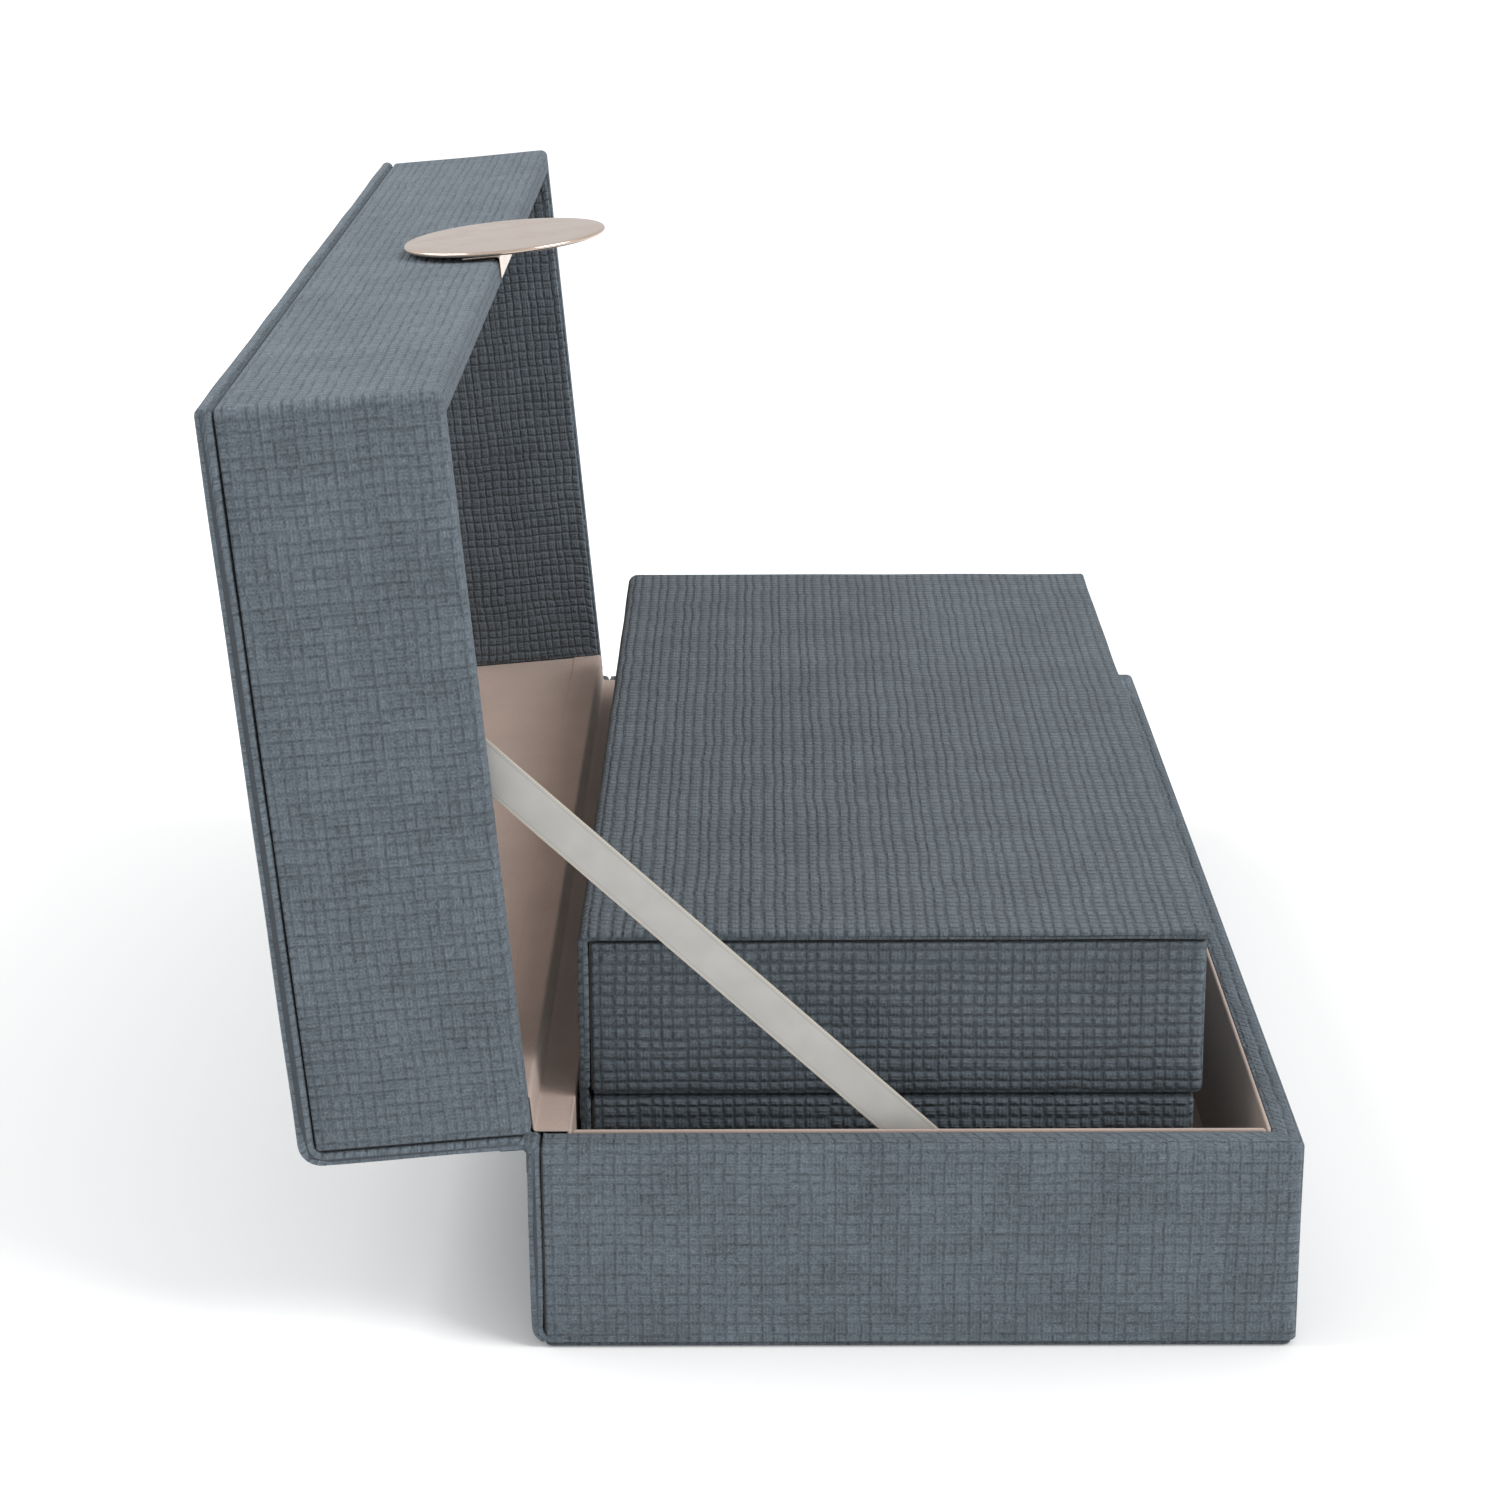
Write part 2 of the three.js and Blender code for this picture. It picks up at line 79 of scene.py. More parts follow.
log = logging.getLogger("case")


# ---- Lines and grids -----------------------------------------------------------------------------


def arc(centre: Sequence[float], radius: float, start: float, end: float, steps: int = 6) -> Array:
    """Points of a circular arc: the centre plus radius times the cosine and sine of each angle.

    Args:
        centre: The arc's centre.
        radius: Its radius.
        start: The first angle, in degrees.
        end: The last angle, in degrees.
        steps: How many points.

    Returns:
        One row of two numbers for each point.
    """
    angle = np.radians(np.linspace(start, end, steps))
    return np.column_stack((centre[0] + radius * np.cos(angle), centre[1] + radius * np.sin(angle)))


def travel(points: Array) -> Array:
    """The distance gone along a line at each of its points."""
    return np.concatenate(([0.0], np.cumsum(np.linalg.norm(np.diff(points, axis=0), axis=1))))


def refine(points: Array, step: float) -> Array:
    """The same line with points added on its long stretches.

    Args:
        points: The line.
        step: The longest stretch to leave whole.

    Returns:
        The line's own points and the added ones, in order.
    """
    gone = travel(points)
    extra = np.arange(step, gone[-1], step)
    clear = np.abs(extra[:, None] - gone[None, :]).min(axis=1) > step / 3
    keep = np.sort(np.concatenate((gone, extra[clear])))
    return np.column_stack([np.interp(keep, gone, column) for column in points.T])


def smooth_line(points: Array, step: float) -> Array:
    """A rounded line through set points: resampled evenly, then averaged with its neighbours twice."""
    gone = travel(points)
    even = np.linspace(0, gone[-1], max(8, round(gone[-1] / step)))
    line = np.column_stack([np.interp(even, gone, column) for column in points.T])
    for _ in range(2):
        line[1:-1] = (line[:-2] + 2 * line[1:-1] + line[2:]) / 4
    return line


def normals(points: Array) -> Array:
    """The unit vectors square to a line, to its left."""
    along = np.gradient(points, axis=0)
    along /= np.linalg.norm(along, axis=1)[:, None]
    return np.column_stack((-along[:, 1], along[:, 0]))


def soft_steps(length: float, radius: float, step: float) -> tuple[Array, Array]:
    """Stations along a piece whose two ends are rounded.

    Args:
        length: The piece's length.
        radius: The ends' rounding.
        step: The distance between the stations of the straight middle.

    Returns:
        The distance of each station from the start, and how far a quarter circle draws the section in there:
        the radius times one minus the sine, where the distance is the radius times one minus the cosine.
    """
    angle = np.radians(np.linspace(0, 90, ROUND_STEPS))
    head = radius * (1 - np.cos(angle))
    drawn = radius * (1 - np.sin(angle))
    count = max(2, round((length - 2 * radius) / step))
    middle = np.linspace(radius, length - radius, count + 1)[1:-1]
    place = np.concatenate((head, middle, length - head[::-1]))
    return place, np.concatenate((drawn, np.zeros(len(middle)), drawn[::-1]))


def ripple(u: Array, v: Array, height: float, seed: float = 0.0) -> Array:
    """A slow unevenness, as of fabric glued to board: three sine waves that cross at odd angles."""
    first = np.sin((u * 75 + v * 19) + seed)
    second = np.sin((u * 31 - v * 112) + 2.1 * seed + 1.3)
    third = np.sin((u * 143 + v * 140) + 0.7 * seed + 4.0)
    return height * (first + second + 0.6 * third) / 2.6


@dataclass
class Grid:
    """A surface on a grid of rows and columns.

    Attributes:
        points: Where each grid point is, as rows by columns by three.
        cloth: Where it lies on the flat cloth, as rows by columns by two. It has one more column if closed.
        closed: True if the last column joins the first.
        capped: True if the first and last rows are each filled with one face.
    """

    points: Array
    cloth: Array
    closed: bool = False
    capped: bool = False

    def quads(self) -> tuple[Array, Array]:
        """The corner numbers of every face, and the cloth position at each corner."""
        rows, columns = self.points.shape[:2]
        across = columns if self.closed else columns - 1
        row, column = np.meshgrid(np.arange(rows - 1), np.arange(across), indexing="ij")
        row, column = row.ravel(), column.ravel()
        corners = [(row, column), (row, column + 1), (row + 1, column + 1), (row + 1, column)]
        index = np.column_stack([r * columns + c % columns for r, c in corners])
        cloth = np.stack([self.cloth[r, c] for r, c in corners], axis=1)
        return index, cloth


def make_mesh(name: str, grid: Grid) -> Piece:
    """An object from one grid, smooth except at sharp edges, its faces pointing out where it is closed.

    Args:
        name: The object's name.
        grid: Its surface.

    Returns:
        The new object, at the origin.
    """
    rows, columns = grid.points.shape[:2]
    index, cloth = grid.quads()
    faces = index.tolist()
    loops = cloth.reshape(-1, 2)
    if grid.capped:
        first = np.arange(columns)[::-1]
        last = (rows - 1) * columns + np.arange(columns)
        faces += [first.tolist(), last.tolist()]
        loops = np.concatenate((loops, grid.cloth[0, first], grid.cloth[-1, :columns]))
    mesh = bpy.data.meshes.new(name)
    mesh.from_pydata(grid.points.reshape(-1, 3).tolist(), [], faces)
    layer = mesh.uv_layers.new(name=CLOTH_MAP)
    layer.uv.foreach_set("vector", loops.astype(np.float32).ravel())
    if grid.closed and grid.capped:
        tidy = bmesh.new()
        tidy.from_mesh(mesh)
        bmesh.ops.recalc_face_normals(tidy, faces=tidy.faces)
        tidy.to_mesh(mesh)
        tidy.free()
    mesh.shade_smooth()
    mesh.set_sharp_from_angle(angle=math.radians(SHARP_ANGLE))
    made = bpy.data.objects.new(name, mesh)
    bpy.context.scene.collection.objects.link(made)
    return made


def weld(piece: Piece) -> None:
    """Joins a piece's doubled points and turns its faces outwards."""
    mesh = bmesh.new()
    mesh.from_mesh(piece.data)
    bmesh.ops.remove_doubles(mesh, verts=mesh.verts, dist=1e-6)
    bmesh.ops.recalc_face_normals(mesh, faces=mesh.faces)
    mesh.to_mesh(piece.data)
    mesh.free()


def vertices_of(piece: Piece) -> Array:
    """The places of a piece's vertices."""
    flat = np.empty(len(piece.data.vertices) * 3, np.float32)
    piece.data.vertices.foreach_get("co", flat)
    return flat.reshape(-1, 3).astype(float)


# ---- Places --------------------------------------------------------------------------------------


@dataclass(frozen=True)
class Place:
    """Where a body's pieces stand: drawn shut about a line along X, then turned open about it.

    Attributes:
        y: The line's place along Y.
        z: Its height.
        angle: How far the body stands open at rest, in radians.
    """

    y: float = 0.0
    z: float = 0.0
    angle: float = 0.0

    def world(self, points: Array) -> Array:
        """Points drawn shut, turned to where they stand at rest: Y and Z rotate together about the line."""
        cosine, sine = math.cos(self.angle), math.sin(self.angle)
        turned = points.copy()
        turned[..., 1] = self.y + points[..., 1] * cosine + points[..., 2] * sine
        turned[..., 2] = self.z - points[..., 1] * sine + points[..., 2] * cosine
        return turned

    def shut(self, points: Array) -> Array:
        """The opposite of world()."""
        cosine, sine = math.cos(self.angle), math.sin(self.angle)
        y, z = points[..., 1] - self.y, points[..., 2] - self.z
        turned = points.copy()
        turned[..., 1] = y * cosine - z * sine
        turned[..., 2] = y * sine + z * cosine
        return turned

    def box(self, node: str) -> tuple[Array, Array]:
        """The lowest and highest corners of a CAD node as drawn shut."""
        points = self.shut(vertices_of(frame["nodes"][node]))
        return points.min(axis=0), points.max(axis=0)

    def point(self, y: float, z: float) -> Array:
        """The Y and Z at rest of a point drawn shut."""
        return self.world(np.array([[0.0, y, z]]))[0, 1:]


def joint(name: str) -> dict:
    """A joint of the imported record, by its name."""
    return next(found for found in frame["joints"] if found["name"] == name)


def place_of(name: str) -> Place:
    """Where a lid on the named hinge stands: open by the share of its range that lies below rest."""
    hinge = joint(name)
    _, y, z = hinge["pos_m"]
    return Place(y, z, math.radians(-min(hinge["range_deg"])))


# ---- Shader arithmetic ---------------------------------------------------------------------------


class Wire:
    """A socket that carries a number. Sums written with it add Math nodes."""

    def __init__(self, shader: "Shader", socket: Socket) -> None:
        """Keeps the shader that the sums are added to, and the socket."""
        self.shader = shader
        self.socket = socket

    def math(self, operation: str, *others: Number, first: Optional[Number] = None) -> "Wire":
        """The result of one Math node.

        Args:
            operation: The node's operation.
            others: The values after this one.
            first: A value to put before this one, for the reflected operators.

        Returns:
            The node's output.
        """
        values = [self, *others] if first is None else [first, self]
        node = self.shader.node("ShaderNodeMath", {"operation": operation}, dict(enumerate(values)))
        return Wire(self.shader, node.outputs[0])

    def __add__(self, other: Number) -> "Wire":
        """This plus another."""
        return self.math("ADD", other)

    __radd__ = __add__

    def __sub__(self, other: Number) -> "Wire":
        """This minus another."""
        return self.math("SUBTRACT", other)

    def __rsub__(self, other: Number) -> "Wire":
        """Another minus this."""
        return self.math("SUBTRACT", first=other)

    def __mul__(self, other: Number) -> "Wire":
        """This times another."""
        return self.math("MULTIPLY", other)

    __rmul__ = __mul__

    def __truediv__(self, other: Number) -> "Wire":
        """This over another."""
        return self.math("DIVIDE", other)

    def floor(self) -> "Wire":
        """The whole number below."""
        return self.math("FLOOR")

    def fraction(self) -> "Wire":
        """What is left over the whole number below."""
        return self.math("FRACT")

    def size(self) -> "Wire":
        """The value without its sign."""
        return self.math("ABSOLUTE")

    def sine(self) -> "Wire":
        """The sine."""
        return self.math("SINE")

    def least(self, other: Number) -> "Wire":
        """The smaller of two."""
        return self.math("MINIMUM", other)

    def rise(self, low: float, high: float) -> "Wire":
        """0 below low, 1 above high, and a smooth step between. It falls instead where low is above high."""
        settings = {"interpolation_type": "SMOOTHSTEP"}
        values = {"Value": self, "From Min": low, "From Max": high}
        return self.shader.wire(self.shader.node("ShaderNodeMapRange", settings, values))

    def blend(self, low: Number, high: Number) -> "Wire":
        """Low where this is 0, high where it is 1."""
        return low + self * (high - low)


class Shader:
    """A material under construction.

    Attributes:
        MIX_SHARE: The Mix node's input for the share of its second colour.
        MIX_LOW: Its input for the first colour.
        MIX_HIGH: Its input for the second colour.
        MIX_COLOUR: Its output for colours.
    """

    MIX_SHARE, MIX_LOW, MIX_HIGH = 0, 6, 7
    MIX_COLOUR = 2

    def __init__(self, name: str) -> None:
        """Starts a material with one Principled shader.

        Args:
            name: The material's name.
        """
        self.material = bpy.data.materials.new(name)
        self.material.use_nodes = True
        self.tree = self.material.node_tree
        self.surface = self.tree.nodes["Principled BSDF"]

    def node(
        self,
        kind: str,
        settings: Optional[dict] = None,
        values: Optional[dict] = None,
    ) -> bpy.types.Node:
        """Adds a node.

        Args:
            kind: The node's type.
            settings: Its properties, set first.
            values: For each input, a number, a colour, a socket or a Wire.

        Returns:
            The new node.
        """
        made = self.tree.nodes.new(kind)
        for key, value in (settings or {}).items():
            setattr(made, key, value)
        for key, value in (values or {}).items():
            self.feed(made.inputs[key], value)
        return made

    def feed(self, socket: Socket, value: Union[Number, Sequence[float], Socket]) -> None:
        """Puts a value on an input, or links it."""
        if isinstance(value, Wire):
            self.tree.links.new(value.socket, socket)
        elif isinstance(value, Socket):
            self.tree.links.new(value, socket)
        else:
            socket.default_value = value

    def wire(self, node: bpy.types.Node, output: Union[int, str] = 0) -> Wire:
        """One of a node's outputs, for sums."""
        return Wire(self, node.outputs[output])

    def cloth(self) -> tuple[Wire, Wire, Socket]:
        """Where a point lies on the flat cloth: across, along, and both as a vector."""
        place = self.node("ShaderNodeUVMap", {"uv_map": CLOTH_MAP}).outputs[0]
        split = self.node("ShaderNodeSeparateXYZ", None, {0: place})
        return self.wire(split, 0), self.wire(split, 1), place

    def body(self) -> Socket:
        """Where a point lies in the row frame at rest."""
        return self.node("ShaderNodeTexCoord").outputs["Object"]

    def noise(self, place: Socket, grain: float, detail: float = 2.0, rough: float = 0.5) -> Wire:
        """A cloudy value from 0 to 1.

        Args:
            place: The coordinates to read.
            grain: The size of its clouds, in metres.
            detail: How many finer layers it has.
            rough: How strong they are.

        Returns:
            The value.
        """
        values = {"Vector": place, "Scale": 1 / grain, "Detail": detail, "Roughness": rough}
        return self.wire(self.node("ShaderNodeTexNoise", None, values), 0)

    def dice(self, value: Number, other: Number = 0.0) -> Wire:
        """A random number from 0 to 1 that is the same wherever the two values are."""
        place = self.node("ShaderNodeCombineXYZ", None, {0: value, 1: other})
        made = self.node("ShaderNodeTexWhiteNoise", {"noise_dimensions": "2D"}, {"Vector": place.outputs[0]})
        return self.wire(made, "Value")

    def mix(self, share: Number, low: Sequence[float], high: Sequence[float]) -> Socket:
        """A colour between two, low where the share is 0. Either may be a socket."""
        low = low if isinstance(low, Socket) else (*low, 1.0)
        high = high if isinstance(high, Socket) else (*high, 1.0)
        values = {self.MIX_SHARE: share, self.MIX_LOW: low, self.MIX_HIGH: high}
        return self.node("ShaderNodeMix", {"data_type": "RGBA"}, values).outputs[self.MIX_COLOUR]

    def shade(self, colour: Union[Socket, Sequence[float]], light: Wire) -> Socket:
        """A colour made lighter or darker by a number."""
        grey = self.node("ShaderNodeCombineColor", None, {0: light, 1: light, 2: light})
        settings = {"data_type": "RGBA", "blend_type": "MULTIPLY"}
        values = {self.MIX_SHARE: 1.0, self.MIX_LOW: colour, self.MIX_HIGH: grey.outputs[0]}
        return self.node("ShaderNodeMix", settings, values).outputs[self.MIX_COLOUR]

    def relief(self, height: Wire) -> Socket:
        """The normal of a surface raised by a height in metres."""
        values = {"Strength": 1.0, "Distance": 1.0, "Height": height}
        return self.node("ShaderNodeBump", None, values).outputs[0]

    def dress(self, **sockets: object) -> bpy.types.Material:
        """Feeds the Principled shader, by input names with underscores for spaces, and gives the material."""
        for key, value in sockets.items():
            self.feed(self.surface.inputs[key.replace("_", " ")], value)
        return self.material


# ---- Finishes ------------------------------------------------------------------------------------


@dataclass(frozen=True)
class EmbossedSuede:
    """Blue-grey faux suede pressed with an uneven woven grid.

    The grid is two families of soft lines. Each line wanders slowly, jogs a little from cell to cell, and
    fades in and out along its length, so that each cell is a small pillow. The colour carries painted shade
    down in the lines, a painted highlight along the edges of each cell, and beside each line a painted
    highlight on one side and painted shade on the other, as light from one side would give. Inside a cell,
    fine threads run one way or the other in turn.

    Attributes:
        name: The material's name.
        cell: The size of a cell across and along, in metres.
        depth: How deep the lines are pressed.
        groove: How far a line's slope reaches into a cell, as a share of the cell.
        fade: How much of a line's strength comes and goes, for the upright lines and the level ones.
        jog: How far each line jumps from cell to cell, as a share of a cell, in the same order.
        groove_shade_amount: How far the lines are darkened towards the painted shade colour, against the
            cells.
        light: The colour of the raised cells.
        groove_shade: The painted shade colour at the bottom of a full line.
        wander: How far a line strays slowly, as a share of a cell.
        squeeze: How much narrower or wider a cell is than the next, as a share of a cell.
        painted_lip: How far from a line its painted highlight lies, as a share of a cell; painted shade lies
            on the line's other side.
        pitch: The spacing of the fine threads that run along and across.
    """

    name: str
    cell: tuple[float, float]
    depth: float
    groove: float
    fade: tuple[float, float]
    jog: tuple[float, float]
    groove_shade_amount: float
    light: Colour = (0.122, 0.147, 0.170)
    groove_shade: Colour = (0.022, 0.034, 0.040)
    wander: float = 0.6
    squeeze: float = 0.10
    painted_lip: float = 0.16
    pitch: tuple[float, float] = (0.95 * MM, 0.90 * MM)

    def _count(self, shader: Shader, place: Socket, cells: Wire, cloud: float, beat: float) -> Wire:
        """A distance counted in cells, made uneven.

        Args:
            shader: The material.
            place: Where a point lies on the cloth.
            cells: The even count.
            cloud: The size of the slow wander, in metres.
            beat: How fast the cells' widths change, in radians per cell.

        Returns:
            The uneven count.
        """
        strayed = cells + self.wander * (shader.noise(place, cloud) - 0.5)
        return strayed + self.squeeze * (strayed * beat).sine()

    @staticmethod
    def _strength(shader: Shader, place: Socket, cloud: float, fade: float) -> Wire:
        """How strongly lines are pressed: 1 where a cloudy value is high, less where it is low."""
        return 1 - fade * (1 - shader.noise(place, cloud, 1.0).rise(0.36, 0.60))

    def _line(self, position: Wire, strength: Wire) -> Wire:
        """1 inside a cell and less towards the lines at its sides, by the distance to the nearer one."""
        to_line = 0.5 - (position.fraction() - 0.5).size()
        return 1 - (1 - to_line.rise(-0.04, self.groove)) * strength

    def build(self) -> bpy.types.Material:
        """Makes the material."""
        shader = Shader(self.name)
        across, along, place = shader.cloth()
        u = self._count(shader, place, across / self.cell[0], cloud=24 * MM, beat=2.1)
        v = self._count(shader, place, along / self.cell[1], cloud=17 * MM, beat=1.9)
        u_jog = u + self.jog[0] * shader.dice(v.floor(), 3.0)
        v_jog = v + self.jog[1] * shader.dice(u.floor(), 7.0)
        u_strength = self._strength(shader, place, 4.5 * MM, self.fade[0])
        v_strength = self._strength(shader, place, 3.6 * MM, self.fade[1])
        upright = self._line(u_jog, u_strength)
        level = self._line(v_jog, v_strength)
        cell = upright * level
        # Painted highlight and shade: each line less the same line moved a fraction of a cell, lighter on one
        # side of the line and darker on the other, as light from one side would give.
        painted_lip = upright - self._line(u_jog - self.painted_lip, u_strength)
        painted_lip = painted_lip + level - self._line(v_jog - self.painted_lip, v_strength)
        lift = shader.dice(u_jog.floor(), v_jog.floor())
        lengthwise = (lift * 2).floor().least(1)
        level_threads = (across * (math.tau / self.pitch[0])).sine()
        upright_threads = (along * (math.tau / self.pitch[1])).sine()
        threads = lengthwise.blend(level_threads, upright_threads)
        nap = shader.noise(place, 1.3 * MM, 5.0, 0.8)
        fibre = shader.noise(place, 0.55 * MM, 2.0, 0.6)
        height = self.depth * cell * (0.8 + 0.4 * lift) + 0.05 * MM * threads
        height = height + 0.34 * MM * nap + 0.09 * MM * fibre
        brushed = shader.noise(place, 30 * MM, 3.0, 0.6)
        mottle = shader.noise(place, 11 * MM, 2.0, 0.6)
        tone = 0.55 + 0.60 * brushed + 0.26 * mottle + 1.3 * (nap - 0.5)
        tone = tone + 0.14 * (lift - 0.5) + 1.6 * (fibre - 0.5)
        # Painted highlight: the cell times one minus the cell lightens each cell's edges next to the lines;
        # the last term adds the painted highlight and shade beside the lines.
        tone = tone + 0.08 * threads + 0.30 * cell * (1 - cell) + 0.17 * painted_lip
        # Painted shade: the colour is mixed towards a darker one down in the lines, deepest at the bottom of
        # a full line.
        colour = shader.shade(shader.mix(self.groove_shade_amount * (1 - cell), self.light, self.groove_shade), tone)
        return shader.dress(
            Base_Color=colour,
            Roughness=0.93,
            Specular_IOR_Level=0.2,
            Sheen_Weight=0.12,
            Sheen_Roughness=0.5,
            Sheen_Tint=(0.80, 0.88, 0.95, 1.0),
            Normal=shader.relief(height),
        )


@dataclass(frozen=True)
class LiningSuede:
    """Smooth pinkish-beige lining with a short nap brushed into faint clouds.

    Attributes:
        name: The material's name.
        pale: Its colour where the nap lies one way.
        deep: Its colour where the nap lies the other way.
    """

    name: str = "lining_suede"
    pale: Colour = (0.475, 0.378, 0.330)
    deep: Colour = (0.430, 0.341, 0.297)

    def build(self) -> bpy.types.Material:
        """Makes the material."""
        shader = Shader(self.name)
        place = shader.body()
        clouds = shader.noise(place, 28 * MM, 4.0, 0.6)
        nap = shader.noise(place, 0.8 * MM, 4.0, 0.7)
        colour = shader.mix(clouds.rise(0.3, 0.7), self.deep, self.pale)
        return shader.dress(
            Base_Color=shader.shade(colour, 0.82 + 0.36 * nap),
            Roughness=0.9,
            Specular_IOR_Level=0.25,
            Sheen_Weight=0.3,
            Sheen_Roughness=0.4,
            Sheen_Tint=(1.0, 0.93, 0.88, 1.0),
            Normal=shader.relief(0.12 * MM * nap),
        )


@dataclass(frozen=True)
class SatinRibbon:
    """Off-white satin with fine cross ribs, and golden thread and a faint seam along both edges.

    Attributes:
        name: The material's name.
        width: The ribbon's width, which places the edge threads.
        edge: How wide each edge's band of thread is. The seam lies as far again from the edge.
        body: The satin's two colours.
        thread: The thread's two colours, along each of its twists.
    """

    name: str
    width: float
    edge: float = 0.45 * MM
    body: tuple[Colour, Colour] = ((0.400, 0.392, 0.372), (0.440, 0.430, 0.410))
    thread: tuple[Colour, Colour] = ((0.42, 0.38, 0.31), (0.56, 0.53, 0.46))

    def build(self) -> bpy.types.Material:
        """Makes the material."""
        shader = Shader(self.name)
        across, along, place = shader.cloth()
        from_middle = across.size()
        rim = (from_middle - (self.width / 2 - self.edge)).rise(-0.1 * MM, 0.05 * MM)
        seam = (from_middle - (self.width / 2 - 2 * self.edge)).size().rise(0.25 * MM, 0.05 * MM)
        ribs = (along * (math.tau / (0.30 * MM)) + across * (math.tau / (0.9 * MM))).sine()
        twist = (along * (math.tau / (0.7 * MM))).sine()
        cloud = shader.noise(place, 9 * MM, 2.0)
        weave = shader.noise(place, 0.22 * MM, 2.0)
        body = shader.mix(cloud.rise(0.3, 0.7), *self.body)
        thread = shader.mix(0.5 + 0.5 * twist, *self.thread)
        colour = shader.shade(shader.mix(rim, body, thread), 0.95 + 0.10 * weave - 0.16 * seam)
        height = 0.006 * MM * ribs * (1 - rim) + rim * (0.05 * MM + 0.03 * MM * twist)
        return shader.dress(
            Base_Color=colour,
            Roughness=rim.blend(0.46, 0.62),
            Specular_IOR_Level=0.4,
            Sheen_Weight=0.15,
            Normal=shader.relief(height),
        )


@dataclass(frozen=True)
class PlatedMetal:
    """Polished plate with a fine grain brushed one way and faint smudges.

    Attributes:
        name: The material's name.
        colour: The plate's colour.
        rough: Its roughness where clean.
    """

    name: str
    colour: Colour
    rough: float

    def build(self) -> bpy.types.Material:
        """Makes the material."""
        shader = Shader(self.name)
        values = {"Vector": shader.body(), "Scale": (12.0, 1.0, 12.0)}
        stretched = shader.node("ShaderNodeMapping", None, values).outputs[0]
        grain = shader.noise(stretched, 3 * MM, 3.0, 0.6)
        smudge = shader.noise(shader.body(), 14 * MM, 3.0)
        return shader.dress(
            Base_Color=shader.shade((*self.colour, 1.0), 0.97 + 0.06 * grain),
            Metallic=1.0,
            Roughness=self.rough + 0.10 * smudge.rise(0.45, 0.75) + 0.04 * grain,
            Normal=shader.relief(0.0015 * MM * grain),
        )


@dataclass(frozen=True)
class GreyBoard:
    """Dark grey board pressed from waste paper: a felt of fine fibres with darker flecks.

    Attributes:
        name: The material's name.
        paper: The colour of the paper that lines a box's inside, if any.
        room: The lowest and highest corners of that box's inside.
        felt: The board's dark grey, partly its own colour and partly painted shade for the open lines
            where it shows between the fabrics.
        fleck: The colour of its flecks.
    """

    name: str = "grey_board"
    paper: Optional[Colour] = None
    room: Sequence[Sequence[float]] = ()
    # Partly painted shade: the board's grey is deepened so that the open lines where it shows read dark.
    felt: Colour = (0.075, 0.072, 0.068)
    fleck: Colour = (0.030, 0.028, 0.026)

    def build(self) -> bpy.types.Material:
        """Makes the material."""
        shader = Shader(self.name)
        place = shader.body()
        felt = shader.noise(place, 1.2 * MM, 4.0, 0.7)
        flecks = shader.noise(place, 3 * MM, 2.0).rise(0.60, 0.72)
        colour = shader.mix(flecks, self.felt, self.fleck)
        if self.paper:
            colour = shader.mix(self._inside(shader), colour, self.paper)
        return shader.dress(
            Base_Color=shader.shade(colour, 0.85 + 0.3 * felt),
            Roughness=0.88,
            Normal=shader.relief(0.08 * MM * felt),
        )

    def _inside(self, shader: Shader) -> Wire:
        """1 between the papered walls, else 0: the product of one step for X and one for Y."""
        split = shader.node("ShaderNodeSeparateXYZ", None, {0: shader.body()})
        edge = 0.3 * MM
        steps = []
        for axis in (0, 1):
            middle = (self.room[0][axis] + self.room[1][axis]) / 2
            reach = (self.room[1][axis] - self.room[0][axis]) / 2
            past = (shader.wire(split, axis) - middle).size() - reach
            steps.append(past.rise(2 * edge, edge))
        return steps[0] * steps[1]


class Finish(Enum):
    """The finishes that the case's pieces wear, each as its look and the record's slot it belongs to."""

    OUTER_SUEDE = ("outer", "suede")
    INNER_SUEDE = ("inner", "suede")
    LINING = ("smooth", "lining")
    RIBBON = ("satin", "ribbon")
    ROSE_GOLD = ("polished", "clasp_metal")
    STEEL = ("plated", "steel")
    BOARD = ("bare", "board")
    PAPERED_BOARD = ("papered", "board")

    @property
    def slot(self) -> str:
        """The record's material slot."""
        return self.value[1]


class Wardrobe:
    """Every material, made once."""

    def __init__(self, ribbon_width: float) -> None:
        """Builds the materials.

        Args:
            ribbon_width: The ribbon's width, in metres.
        """
        self.materials = {
            Finish.OUTER_SUEDE: EmbossedSuede(
                "outer_suede", cell=(3.0 * MM, 2.7 * MM), depth=0.68 * MM, groove=0.28,
                fade=(0.48, 0.50), jog=(0.14, 0.12), groove_shade_amount=0.20,
            ).build(),
            Finish.INNER_SUEDE: EmbossedSuede(
                "inner_suede", cell=(3.0 * MM, 2.9 * MM), depth=0.95 * MM, groove=0.36,
                fade=(0.35, 0.25), jog=(0.14, 0.08), groove_shade_amount=0.42, light=(0.116, 0.139, 0.159),
            ).build(),
            Finish.LINING: LiningSuede().build(),
            Finish.RIBBON: SatinRibbon("satin_ribbon", ribbon_width).build(),
            Finish.ROSE_GOLD: PlatedMetal("rose_gold_plate", (0.67, 0.54, 0.455), 0.17).build(),
            Finish.STEEL: PlatedMetal("plated_steel", (0.56, 0.57, 0.60), 0.25).build(),
            Finish.BOARD: GreyBoard().build(),
            Finish.PAPERED_BOARD: GreyBoard(
                "papered_board", paper=(0.50, 0.40, 0.345), room=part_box("inner_lid_pad"),
            ).build(),
        }

    def dress(self, piece: Piece, finish: Finish) -> None:
        """Puts one finish on the whole of a piece."""
        piece.data.materials.clear()
        piece.data.materials.append(self.materials[finish])
        finish.slot

    def dress_frame(self, finishes: dict[str, Finish]) -> None:
        """Puts finishes on CAD nodes, by name, and the board finish on the rest."""
        for name, node in frame["nodes"].items():
            wanted = self.materials[finishes.get(name, Finish.BOARD)]
            for slot in node.material_slots:
                slot.material = wanted


# ---- Kinds of piece ------------------------------------------------------------------------------


